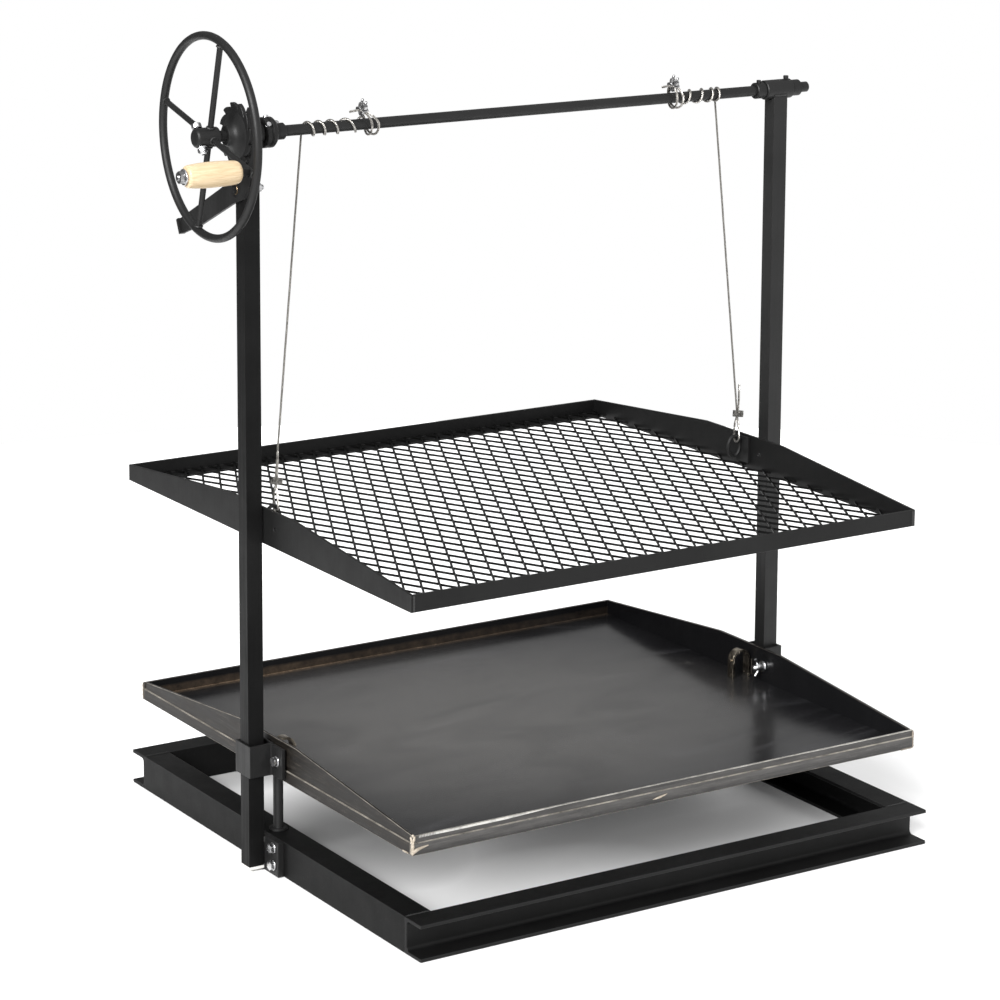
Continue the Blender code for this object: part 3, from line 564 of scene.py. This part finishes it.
def smooth_path(points, per=8):
    """Points on a Catmull-Rom curve through the given ones."""
    points = [Vector(p) for p in points]
    ends = [points[0] * 2 - points[1]] + points + [points[-1] * 2 - points[-2]]
    out = []
    for a, b, c, d in zip(ends, ends[1:], ends[2:], ends[3:]):
        for i in range(per):
            t = i / per
            out.append(0.5 * ((2 * b) + (c - a) * t + (2 * a - 5 * b + 4 * c - d) * t * t
                              + (3 * b - a - 3 * c + d) * t ** 3))
    return out + [points[-1]]


def chamfered(bm, axis, u, v, across, low, high, hole=0.0, mark=0):
    """A hexagon head or nut whose corners are turned off, with a washer face."""
    sixth, n = math.pi / 3, 48
    corner = across / math.sqrt(3)
    steps = [2 * math.pi * i / n for i in range(n)]
    outline = [min(across / 2 / math.cos(a % sixth - sixth / 2), corner) for a in steps]
    points, faces = [], []

    def add_ring(radii, along):
        for a, radius in zip(steps, radii):
            a += sixth / 2
            points.append(put(axis, u + radius * math.cos(a), v + radius * math.sin(a), along))
        return range(len(points) - n, len(points))

    rings = [add_ring([min(radius, corner * limit) for radius in outline], low + (high - low) * share)
             for share, limit in ((0.0, 0.93), (0.10, 1.0), (0.84, 1.0), (1.0, 0.90))]
    pairs = list(zip(rings, rings[1:]))
    if hole:
        inner = [add_ring([hole] * n, along) for along in (low, high)]
        pairs += [(rings[0], inner[0]), (inner[0], inner[1]), (inner[1], rings[-1])]
    for a, b in pairs:
        faces += [(a[i], a[(i + 1) % n], b[(i + 1) % n], b[i]) for i in range(n)]
    if not hole:
        faces += [tuple(rings[0]), tuple(rings[-1])]
    add_solid(bm, points, faces, mark)


def add_thread(bm, axis, u, v, radius, low, high, pitch=1.25, mark=0):
    """A threaded length: close rings of a shallow V, with turned-off ends."""
    profile = [(low, 0.0), (low, radius - 0.9)]
    z, turns = low + 0.4, max(1, int((high - low - 0.8) / pitch))
    for i in range(turns):
        profile += [(z + i * pitch, radius - 0.55), (z + (i + 0.5) * pitch, radius)]
    profile += [(high - 0.3, radius - 0.55), (high, radius - 0.9), (high, 0.0)]
    add_lathe(bm, axis, u, v, profile, 20, mark)


def add_washer(bm, axis, u, v, outer, inner, low, high, mark=0, ease=0.35, sides=40):
    """A washer or a sleeve with eased outer corners."""
    e = min(ease, (high - low) / 3)
    add_lathe(bm, axis, u, v, [(low, inner), (low, outer - e), (low + e, outer), (high - e, outer),
                               (high, outer - e), (high, inner)], sides, mark)


def turn_on_shaft(bm, before, degrees):
    """Turns the points added since before round the shaft's axis."""
    bm.verts.ensure_lookup_table()
    bmesh.ops.rotate(bm, cent=(0, 0, SHAFT_Z), matrix=Matrix.Rotation(math.radians(degrees), 3, "X"),
                     verts=bm.verts[before:])


def add_weld(bm, start, end, radius, mark=0):
    """A weld bead with a ripple every 2.2 mm and uneven width."""
    a, b = Vector(start), Vector(end)
    n = max(4, int((b - a).length / 2.2))
    path = [a.lerp(b, i / n) + Vector([rng.uniform(-1, 1) * radius * 0.12 for _ in range(3)])
            for i in range(n + 1)]
    radii = [radius * (0.86 + 0.20 * (i % 2) + rng.uniform(-0.08, 0.08)) for i in range(n + 1)]
    radii[0] *= 0.6
    radii[-1] *= 0.6
    add_tube(bm, path, radii, 8, mark=mark)


def add_weld_ring(bm, at, along, radius, bead, sides=20):
    """A rippled weld round a spoke that runs along a direction in the wheel's plane."""
    across = Vector((0, -along.z, along.y))
    ring = [at + (Vector((1, 0, 0)) * math.cos(t) + across * math.sin(t)) * radius
            for t in (2 * math.pi * i / sides for i in range(sides))]
    add_tube(bm, ring, bead, 8, closed=True, mark=1, wobble=lambda i, k: 0.25 * (i % 2))


def rounded(node, material, width=0.7, edge=None, segments=2):
    """A CAD node with its corners eased: shared points, a small bevel and its own material."""
    obj = nodes[node]
    obj.data.materials.clear()
    obj.data.materials.append(material)
    if edge:
        obj.data.materials.append(edge)
    weld = obj.modifiers.new("weld", "WELD")
    weld.merge_threshold = 0.00002
    bevel = obj.modifiers.new("bevel", "BEVEL")
    bevel.width, bevel.segments = width * MM, segments
    bevel.limit_method, bevel.angle_limit = "ANGLE", math.radians(35)
    if edge:
        bevel.material = 1
    normals = obj.modifiers.new("normals", "WEIGHTED_NORMAL")
    normals.keep_sharp = True
    obj.data.shade_smooth()


# ================================================================ frame and posts
def build_frame():
    for side in ("front", "rear", "left", "right"):
        rounded(f"base_{side}_channel", COAT_RAIL if side == "front" else COAT_BASE, 0.9, COAT_EDGE_HIGHLIGHT)
    for side, sign in (("left", -1), ("right", 1)):
        # the left post takes the darker copy of the coat as painted shade; the right post has the plain coat
        rounded(f"{side}_post", COAT_POST_SHADED if side == "left" else COAT, 1.6, segments=3)
        rounded(f"{side}_foot_plate", COAT, 0.8, COAT_EDGE_HIGHLIGHT)
        rounded(f"{side}_post_cap", PLASTIC, 0.8)
        for level, z in (("lower", 16.0), ("upper", 42.0)):
            hex_bolt(f"{side}_{level}_foot_bolt_fine", f"{side}_{level}_foot_bolt", "frame",
                     sign, -39.0, z, 450.0, 427.0)
    bm = bmesh.new()
    for sx in (-1, 1):
        for sy in (-1, 1):
            x, y = sx * 438.0, sy * 393.9
            add_weld(bm, (sx * 436, y, 6.5), (sx * 436, y, 47), 1.3)
            add_weld(bm, (sx * 399, y, 53.0), (x, y, 53.0), 1.5)
    for sign in (-1, 1):
        for z in (2.0, 43.0):
            add_weld(bm, (sign * 449.9, -12.6, z), (sign * 449.9, -12.6, z + 8), 1.3)
        add_weld(bm, (sign * 450.0, 12.3, 8), (sign * 450.0, 12.3, 52), 1.4)
    for x0, x1 in ((-475.2, -474.0), (450.5, 474.5)):
        for y in (-13.0, 13.0):
            add_weld(bm, (x0, y, SHAFT_Z - 8.0), (x1, y, SHAFT_Z - 8.0), 1.6)
    piece("frame_welds", bm, "frame", WELD_BLACK)
    for side, (low, high) in (("left", (-474.5, -441.0)), ("right", (437.5, 487.5))):
        bm = bmesh.new()
        add_washer(bm, "x", 0, SHAFT_Z, 15.0, BORE_R, low, high, ease=1.2, sides=64)
        if side == "right":
            add_thread(bm, "z", high - 7, 0, 2.5, SHAFT_Z + 13, SHAFT_Z + 17.5, 0.8)
            chamfered(bm, "z", high - 7, 0, 7.0, SHAFT_Z + 15.2, SHAFT_Z + 20)
        piece(f"{side}_bearing", bm, "frame", COAT, [f"{side}_bearing_tube"])
    bm = bmesh.new()
    chamfered(bm, "x", 0, PIVOT_Z, 13.0, -488.5, -482.9, mark=1)
    add_washer(bm, "x", 0, PIVOT_Z, 7.1, 3.9, -482.9, -481.9, 2)
    add_lathe(bm, "x", 0, PIVOT_Z, [(-482.9, 0), (-482.9, 4.0), (-450, 4.0), (-450, 0)], 24)
    add_washer(bm, "x", 0, PIVOT_Z, 8.0, 3.9, -476.2, -475.3)
    chamfered(bm, "x", 0, PIVOT_Z, 13.0, -449.7, -443.0, 3.9)
    add_thread(bm, "x", 0, PIVOT_Z, 4.0, -452.0, -438.0)
    piece("pawl_pivot_fine", bm, "frame", [ZINC, COAT, BRONZE], ["pawl_pivot_bolt"])


def hex_bolt(name, node, body, sign, y, z, head, end):
    """A bolt along X: washer and hexagon head outwards from |X| = head, thread to |X| = end."""
    bm = bmesh.new()
    washer, hexagon, thread = (sorted((sign * a, sign * b)) for a, b in
                               ((head, head + 1.6), (head + 1.5, head + 7.0), (end, head + 2.0)))
    add_washer(bm, "x", y, z, 8.0, 3.0, *washer)
    chamfered(bm, "x", y, z, 13.0, *hexagon)
    add_thread(bm, "x", y, z, 4.0, *thread)
    piece(name, bm, body, ZINC, [node])


# ================================================================ winch
def build_winch():
    z = SHAFT_Z
    bm = bmesh.new()
    low, high, steps = -543.0, 521.0, 60
    profile = [(low, 0), (low, 6.8), (low + 1.2, SHAFT_R)]
    profile += [(low + (high - low) * i / steps, SHAFT_R) for i in range(1, steps)]
    profile += [(high - 1.2, SHAFT_R), (high, 6.8), (high, 0)]
    add_lathe(bm, "x", 0, z, profile, 48)
    piece("shaft_bar", bm, "winch", COAT, ["winch_shaft"])

    bm = bmesh.new()
    ring = [(WHEEL_X, WHEEL_R * math.cos(a), z + WHEEL_R * math.sin(a))
            for a in (2 * math.pi * i / 160 for i in range(160))]
    add_tube(bm, ring, RIM_R, 24, closed=True)
    piece("wheel_ring", bm, "winch", COAT, ["wheel_rim"])

    bm = bmesh.new()
    low, high = HUB_X
    add_lathe(bm, "x", 0, z, [(low, 0), (low, 9.6), (low + 0.5, 11.4), (low + 1.8, 12.9), (low + 4.0, 14.0),
                              (high - 1.0, 14.0), (high, 13.0), (high, BORE_R), (low + 2.8, BORE_R),
                              (low + 2.8, 0)], 64)
    for quarter in range(4):
        a = TILT + quarter * math.pi / 2
        c, s = math.cos(a), math.sin(a)
        line = [(WHEEL_X, r * c, z + r * s) for r in (12.0, 60.0, 100.0, WHEEL_R - RIM_R - 0.35)]
        add_tube(bm, line, 4.25, 20)
        middle, out = Vector((WHEEL_X, 0, z)), Vector((0, c, s))
        add_weld_ring(bm, middle + out * (WHEEL_R - RIM_R - 0.6), out, 4.6, 1.3)
        add_weld_ring(bm, middle + out * 14.2, out, 4.8, 1.5)
    c, s = -math.cos(TILT), -math.sin(TILT)
    corners = []
    for r, w, first in ((69, 0.5, 180), (132, 0.5, 270), (132, 22, 0), (69, 22, 90)):
        for i in range(5):
            a = math.radians(first + 22.5 * i)
            cr, cw = (r + 5 if r < 100 else r - 5), (w + 5 if w < 10 else w - 5)
            corners.append((cr + 5 * math.cos(a), cw + 5 * math.sin(a)))
    outline = [(r * c - w * s, z + r * s + w * c) for r, w in corners]
    add_prism(bm, "x", outline, -525.0, -520.0)
    ends = [(r * c - 4.2 * s, z + r * s + 4.2 * c) for r in (72, 129)]
    add_weld(bm, (-525.0, *ends[0]), (-525.0, *ends[1]), 1.6, 1)
    piece("wheel_hub", bm, "winch", [COAT, WELD_BLACK], ["wheel_hub_and_spokes"], 32)

    bm = bmesh.new()
    chamfered(bm, "z", HUB_BOLT_X, 0, 12.4, z + 15.6, z + 21.4)
    add_washer(bm, "z", HUB_BOLT_X, 0, 7.2, 3.5, z + 14.2, z + 15.7)
    chamfered(bm, "z", HUB_BOLT_X, 0, 12.4, z - 21.2, z - 15.4, 3.7)
    add_washer(bm, "z", HUB_BOLT_X, 0, 7.2, 3.5, z - 15.5, z - 14.2)
    add_thread(bm, "z", HUB_BOLT_X, 0, 4.0, z - 25.0, z + 17.0)
    turn_on_shaft(bm, 0, HUB_BOLT_TURN)
    piece("hub_bolt_fine", bm, "winch", ZINC, ["hub_through_bolt"])

    bm = bmesh.new()
    add_thread(bm, "x", GRIP_Y, GRIP_Z, 4.4, -634.0, -624.0, mark=1)
    chamfered(bm, "x", GRIP_Y, GRIP_Z, 15.5, -631.5, -624.6, 4.0, mark=1)
    add_washer(bm, "x", GRIP_Y, GRIP_Z, 11.4, 4.2, -624.5, -622.9)
    add_washer(bm, "x", GRIP_Y, GRIP_Z, 9.6, 4.2, -622.8, -620.9)
    add_lathe(bm, "x", GRIP_Y, GRIP_Z, [(-626, 0), (-626, 4.9), (-526.6, 4.9), (-526.6, 0)], 28, 2)
    add_washer(bm, "x", GRIP_Y, GRIP_Z, 10.5, 4.9, -538.2, -536.2, 2)
    chamfered(bm, "x", GRIP_Y, GRIP_Z, 15.0, -536.1, -526.6, 4.8, mark=2)
    piece("grip_stud_fine", bm, "winch", [ZINC, ZINC_DARK, COAT], ["grip_stud"])

    bm = bmesh.new()
    low, high = GRIP_X
    shape = ((0.0, 12.8), (0.012, 14.6), (0.03, 15.4), (0.06, 15.9), (0.12, 16.5), (0.22, 17.2), (0.34, 17.7),
             (0.46, 17.95), (0.60, 17.8), (0.72, 17.5), (0.83, 17.0), (0.90, 16.5), (0.95, 15.6),
             (0.98, 13.9), (1.0, 11.0))
    waist = smooth_path([(t, v, 0) for t, v in shape], 4)
    profile = [(low, 5.5)] + [(low + (high - low) * p.x, p.y) for p in waist] + [(high, 5.5)]
    add_lathe(bm, "x", GRIP_Y, GRIP_Z, profile, 72)
    piece("grip_wood", bm, "grip", WOOD, ["wood_grip"], 60)


def gear_outline():
    """The ratchet's outline: every tooth is a steep face and a long curved back."""
    outline, teeth, root = [], 12, 38.5
    pitch, depth, phase = 2 * math.pi / teeth, 8.0, math.radians(134.0)
    shape = ((0.0, 0.0), (-0.03, 0.45), (-0.06, 0.90), (-0.045, 0.98), (-0.01, 1.0), (0.03, 1.0),
             (0.14, 0.94), (0.25, 0.86), (0.38, 0.74), (0.5, 0.6), (0.63, 0.44), (0.75, 0.28),
             (0.86, 0.13), (0.95, 0.02))
    for tooth in range(teeth):
        for share, height in shape:
            a, r = phase + (tooth + share) * pitch, root + depth * height
            outline.append((r * math.cos(a), SHAFT_Z + r * math.sin(a)))
    return outline


def build_ratchet():
    z = SHAFT_Z
    bm = bmesh.new()
    outline = gear_outline()
    inset = [(y * 0.985, z + (v - z) * 0.985) for y, v in outline]
    n = len(outline)
    rings = [(-482.0, inset), (-481.4, outline), (-476.6, outline), (-476.0, inset)]
    points = [(x, y, v) for x, line in rings for y, v in line]
    faces = []
    for k in range(3):
        faces += [(k * n + i, k * n + (i + 1) % n, (k + 1) * n + (i + 1) % n, (k + 1) * n + i)
                  for i in range(n)]
    faces += [tuple(range(n)), tuple(range(3 * n, 4 * n))]
    add_solid(bm, points, faces)
    dome = [(-481.5, 35.0), (-483.2, 31.5), (-485.0, 25.8), (-487.0, 21.0), (-489.5, 17.6), (-492.5, 15.6),
            (-496.0, 14.6), (-497.4, 14.0), (-498.0, 13.0), (-498.0, BORE_R), (-481.5, BORE_R)]
    add_lathe(bm, "x", 0, z, dome, 64)
    piece("ratchet_wheel", bm, "winch", COAT_ROUGH, ["ratchet_gear"], 30)

    bm = bmesh.new()
    left = [(-440.4, BORE_R), (-440.4, 20.6), (-439.4, 22.0), (-434.6, 22.0), (-433.0, 20.0),
            (-431.5, 20.0), (-430.0, 22.0), (-425.4, 22.0), (-424.0, 20.8), (-421.5, 18.0),
            (-421.0, 13.0), (-420.0, 12.0), (-406.0, 12.0), (-405.0, 11.0), (-405.0, BORE_R)]
    add_lathe(bm, "x", 0, z, left, 64)
    for x, r, angle in ((-438.0, 21.0, 52.0), (-427.5, 21.0, -25.0), (-418.5, 12.6, 14.0)):
        before = len(bm.verts)
        add_thread(bm, "z", x, 0, 2.6, z + r - 3, z + r + 1.5, 0.8, 1)
        chamfered(bm, "z", x, 0, 6.6, z + r - 0.6, z + r + 3.6, mark=1)
        turn_on_shaft(bm, before, angle)
    piece("left_collars", bm, "winch", [COAT_ROUGH, ZINC], ["left_shaft_collar"], 30)
    for name, node, low, high, screw in (("right_collar_a", "right_inner_collar", 420.5, 437.0, True),
                                         ("right_collar_b", "right_end_collar", 488.0, 504.0, False)):
        bm = bmesh.new()
        add_washer(bm, "x", 0, z, 12.5, BORE_R, low, high, ease=0.9, sides=56)
        if screw:
            chamfered(bm, "z", 427.0, -2, 6.0, z + 11.5, z + 16.6)
        piece(name, bm, "winch", COAT_ROUGH, [node], 30)
    rounded("pawl_lever", COAT, 0.7, COAT_EDGE_HIGHLIGHT)


# ================================================================ lift ropes
def wire_clip(bm, at, along, up, size=1.0):
    """A wire rope clip on a rope that runs along: a saddle, a U-bolt with two legs along up, and two nuts."""
    along, up = Vector(along).normalized(), Vector(up).normalized()
    side = along.cross(up).normalized()
    base = Matrix((side, along, up)).transposed().to_4x4()
    base.translation = Vector(at)
    before = len(bm.verts)
    half = 5.2 * size
    add_prism(bm, "y", [(-9.0 * size, -1.2), (-9.0 * size, 1.6), (-6.0 * size, 3.4), (6.0 * size, 3.4),
                        (9.0 * size, 1.6), (9.0 * size, -1.2), (5.5 * size, -2.4), (-5.5 * size, -2.4)],
              -half, half, 1)
    bend = [(5.0 * size * math.cos(a), 0, -3.2 - 4.8 * size * math.sin(a))
            for a in (math.pi * i / 12 for i in range(13))]
    add_tube(bm, [(5.0 * size, 0, 4)] + bend + [(-5.0 * size, 0, 4)], 1.9 * size, 12, mark=1)
    for s in (-1, 1):
        add_thread(bm, "z", s * 5.0 * size, 0, 2.1 * size, 2.0, 15.0 * size, 0.9, 1)
        chamfered(bm, "z", s * 5.0 * size, 0, 7.6 * size, 3.8, 8.2 * size, 1.8 * size, mark=1)
    bm.verts.ensure_lookup_table()
    bmesh.ops.transform(bm, matrix=base, verts=bm.verts[before:])


def build_ropes():
    z, rope_r, turn_r = SHAFT_Z, 1.8, SHAFT_R + 1.9
    for side, c in CABLES.items():
        sign = c["sign"]
        bm = bmesh.new()
        path, x, steps = [], c["top"], 28
        for pitch in c["pitches"]:
            for step in range(steps):
                a = 2 * math.pi * step / steps
                path.append((x + pitch * step / steps, turn_r * math.cos(a), z + turn_r * math.sin(a)))
            x += pitch
        path.append((x, turn_r, z))
        path += [(x + sign * 2.0, turn_r * 0.80, z + 7.7), (x + sign * 5.0, turn_r * 0.2, z + 11.7)]
        add_rope(bm, path, rope_r)
        piece(f"{side}_rope_wraps", bm, "winch", ROPE, [f"{side}_cable_wraps"], 80)

        bm = bmesh.new()
        loop = []
        for step in range(96):
            a = 2 * math.pi * step / 48
            high = max(0.0, math.sin(a)) ** 2
            r = 15.5 + (c["rise"] - 15.5) * high
            apart = 5.5 * math.sin(a / 2) * (1.0 - 0.6 * high)
            loop.append((c["loop"] + apart + c["lean"] * high, r * math.cos(a), z + r * math.sin(a)))
        add_rope(bm, loop, rope_r, closed=True)
        cx, cy, cz = c["loop"] + c["lean"], -1.0, z + c["rise"]
        tail = [(cx - 20, cy + 1, cz - 1.5), (cx - 9, cy + 1, cz - 0.5), (cx, cy, cz),
                (cx + 8, cy + 1, cz + 1.0)]
        add_rope(bm, smooth_path(tail, 6), 1.8)
        wire_clip(bm, (cx, cy, cz), (1, 0, 0.10), (0.10, -0.30, 0.95))
        piece(f"{side}_rope_anchor", bm, "winch", [ROPE, ZINC_DARK],
              [f"{side}_cable_anchor"], 40)

        clip_z, eye_z, low = LUG_Z + 53.0, LUG_Z + 5.5, c["low"]
        top, foot = Vector((c["top"], WRAP_R, z - 1.0)), Vector((low, 0.0, clip_z + 2.0))
        bm = bmesh.new()
        add_rope(bm, [top, foot], 1.5)
        drop = piece(f"{side}_rope_drop", bm, None, ROPE_DROP, [f"{side}_lift_cable"], 80)
        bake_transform(drop, "frame", "grate", start=top * MM, end=foot * MM)
        weights = drop.data.attributes["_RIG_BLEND"]
        span = top.z - foot.z
        values = [min(1.0, max(0.0, (top.z - v.co.z / MM) / span)) for v in drop.data.vertices]
        weights.data.foreach_set("value", values)

        bm = bmesh.new()
        eye = [(low, 0.4, clip_z + 4), (low, -1.2, clip_z - 6), (low, -4.6, clip_z - 18),
               (low, -6.4, eye_z + 14)]
        eye += [(low, -6.5 * math.cos(t), eye_z + 12 - 11 * math.sin(t)) for t in
                (math.pi * i / 10 for i in range(1, 10))]
        eye += [(low, 6.4, eye_z + 14), (low, 4.6, clip_z - 18), (low + 1.5, 1.8, clip_z - 6),
                (low + 2.8, 0.6, clip_z + 4), (low + 3.4, 0.0, clip_z + 20), (low + 3.8, 0, clip_z + 45)]
        add_rope(bm, smooth_path(eye, 6), 1.7)
        wire_clip(bm, (low + 1.6, -1.0, clip_z - 1.0), (0.06, 0, 1), (-0.55, -0.83, 0.05), size=0.92)
        piece(f"{side}_rope_eye", bm, "grate", [ROPE, ZINC_DULL], [f"{side}_cable_clip"], 40)


# ================================================================ fire tray
def build_tray():
    rounded("tray_floor", PLATE_FLOOR, 0.5)
    rounded("tray_front_wall", FRONT_WALL, 0.7, EDGE_WORN)
    rounded("tray_left_wall", SIDE_WALL, 0.7, EDGE_WORN)
    rounded("tray_right_wall", SIDE_WALL, 0.6, EDGE_DULL)
    rounded("tray_rear_wall", SIDE_WALL, 0.6, EDGE_DULL)
    for side, sign in (("left", -1), ("right", 1)):
        rounded(f"{side}_slide_bracket", COAT, 1.2, segments=3)
        rounded(f"{side}_tray_leg", COAT, 0.6)
        rounded(f"{side}_tray_loop", LOOP, 0.9, segments=3)
        hex_bolt(f"{side}_tray_bolt_fine", f"{side}_tray_bolt", "tray",
                 sign, TRAY_BOLT_Y, TRAY_BOLT_Z, 443.5, 410.0)
        wing_nut(side, sign)
    bm = bmesh.new()
    for sx, sy in ((-1, 1), (1, -1), (1, 1)):
        x, y = sx * (TRAY_X + 1.0), sy * (TRAY_Y + 0.8)
        add_weld(bm, (x, y, TRAY_Z + 1.0), (x, y, TRAY_Z + 26.5), 1.6)
        y = sy * (TRAY_Y + 1.2)
        add_weld(bm, (sx * TRAY_X, y, TRAY_Z + 0.8), (sx * (TRAY_X - 22.0), y, TRAY_Z + 0.6), 1.2)
    corner = (-TRAY_X - 0.6, -TRAY_Y - 0.6)
    add_weld(bm, (*corner, 143.6), (*corner, 160.0), 2.7, 1)
    add_weld(bm, (*corner, 158.0), (-435.6, -402.0, 168.8), 1.9, 1)
    add_weld(bm, (*corner, 158.0), (-430.8, -405.6, 168.8), 1.9, 1)
    run = smooth_path([(-434.0, -406.6, 148.0), (-427.0, -406.8, 150.6), (-419.0, -406.7, 152.2),
                       (-410.0, -406.4, 153.6)], 6)
    add_tube(bm, run, [3.0 - 2.2 * i / (len(run) - 1) for i in range(len(run))], 10, mark=1,
             wobble=lambda i, k: 0.12 * (i % 2))
    blob = [(168.0, 0), (168.0, 1.7), (170.6, 2.0), (171.6, 1.4), (171.9, 0)]
    add_lathe(bm, "z", -433.0, -403.6, blob, 20, 1)
    add_weld(bm, (-435.4, -380.0, 143.2), (-435.4, -396.0, 143.2), 1.3, 1)
    nick = smooth_path([(-38.0, -407.0, 149.2), (-30.0, -407.2, 150.2), (-22.0, -407.2, 151.6),
                        (-13.0, -407.0, 153.6)], 5)
    ends = len(nick) - 1
    add_tube(bm, nick, [0.3 + 1.3 * math.sin(math.pi * i / ends) for i in range(len(nick))], 8, mark=1)
    for sx in (-1, 1):
        for y in (-8, 8):
            add_weld(bm, (sx * 430.0, y, 150), (sx * 430.0, y, 176), 1.2, 2)
    piece("tray_welds", bm, "tray", [WELD_RAW, WELD_PALE, WELD_DARK])


def wing_nut(side, sign):
    """A flanged nut on the tray's bolt with two bent wings."""
    y, z = TRAY_BOLT_Y, TRAY_BOLT_Z
    bm = bmesh.new()
    profile = ((429.6, 4.2), (429.6, 8.3), (429.2, 8.6), (427.9, 8.6), (427.5, 8.2), (427.4, 6.6),
               (424.0, 6.2), (416.0, 5.4), (415.0, 4.9), (415.0, 4.2))
    add_lathe(bm, "x", y, z, [(sign * x, radius) for x, radius in profile], 40)
    for s in (-1, 1):
        spine = [(sign * x, y, z + s * v)
                 for x, v in ((421.0, 4.6), (418.5, 8.0), (415.6, 11.5), (414.2, 13.6))]
        add_tube(bm, smooth_path(spine, 5), [2.6 - 0.02 * i for i in range(16)], 12)
    piece(f"{side}_wing_nut_fine", bm, f"{side}_nut", ZINC, [f"{side}_wing_nut"])


# ================================================================ grate
def build_grate():
    for side in ("left", "right"):
        rounded(f"grate_{side}_wall", COAT_RAIL, 0.8, COAT_EDGE_HIGHLIGHT)
        rounded(f"{side}_cable_lug", COAT, 0.5)
    for side in ("front", "rear"):
        rounded(f"grate_{side}_rail", COAT_RAIL, 0.8, COAT_EDGE_HIGHLIGHT)
    bm = bmesh.new()
    for x, s in ((GRATE_X[0] + 2, -1), (GRATE_X[1] - 2, 1)):
        x -= s * 2.2
        for y in (-GRATE_Y, GRATE_Y):
            add_weld(bm, (x, y, 491), (x, y, 513.5), 1.5)
    piece("grate_welds", bm, "grate", WELD_BLACK)
    expanded_mesh()


def expanded_mesh():
    """Raised expanded metal: every strand is shared by two diamonds and leans along X.

    The sheet was cut a little askew, so a row of diamonds drifts along X as it goes back.
    """
    pitch_x, pitch_y, strand, lean = 28.3, 61.5, 3.4, 1.4
    low, thick, skew, shift, inset = 494.0, 3.0, 0.026, 13.4, 4.3
    xs, ys = (GRATE_X[0] + inset, GRATE_X[1] - inset), (-GRATE_Y + inset, GRATE_Y - inset)
    hx, hy = pitch_x / 2, pitch_y / 2
    shrink = strand / 2 * math.hypot(hx, hy)
    dx, dy = hx - shrink / hy, hy - shrink / hx
    bm = bmesh.new()
    middle = (xs[0] + xs[1]) / 2 + shift
    columns, rows = int((xs[1] - xs[0]) / hx) // 2 + 3, int((ys[1] - ys[0]) / hy) // 2 + 3
    points, faces = [], []
    for i in range(-columns, columns + 1):
        for j in range(-rows, rows + 1):
            if (i + j) % 2:
                continue
            cx, cy = middle + i * hx, j * hy
            outer = [(cx + hx, cy, 0), (cx, cy + hy, 0), (cx - hx, cy, 0), (cx, cy - hy, 0)]
            inner = [(cx + dx, cy, lean), (cx, cy + dy, 0), (cx - dx, cy, -lean), (cx, cy - dy, 0)]
            first = len(points)
            for up in (thick, 0.0):
                points += [(u + skew * v, v, low + w + up) for u, v, w in outer + inner]
            for k in range(4):
                m = (k + 1) % 4
                for a, b in ((0, 4), (8, 12), (4, 12)):
                    faces.append((first + a + k, first + a + m, first + b + m, first + b + k))
    add_solid(bm, points, faces)
    bmesh.ops.remove_doubles(bm, verts=bm.verts, dist=0.01)
    for spot, normal in (((xs[0], 0, 0), (-1, 0, 0)), ((xs[1], 0, 0), (1, 0, 0)),
                         ((0, ys[0], 0), (0, -1, 0)), ((0, ys[1], 0), (0, 1, 0))):
        done = bmesh.ops.bisect_plane(bm, geom=bm.verts[:] + bm.edges[:] + bm.faces[:], dist=0.001,
                                      plane_co=spot, plane_no=normal, clear_outer=True)
        cut = [g for g in done["geom_cut"] if isinstance(g, bmesh.types.BMEdge) and g.is_valid]
        bmesh.ops.holes_fill(bm, edges=cut, sides=0)
    obj = piece("grate_expanded_mesh", bm, "grate", MESH_COAT, ["grate_mesh"], 25)
    bevel = obj.modifiers.new("bevel", "BEVEL")
    bevel.width, bevel.segments = 0.35 * MM, 1
    bevel.limit_method, bevel.angle_limit = "ANGLE", math.radians(50)


add_camera()
add_surroundings()
build_frame()
build_winch()
build_ratchet()
build_ropes()
build_tray()
build_grate()
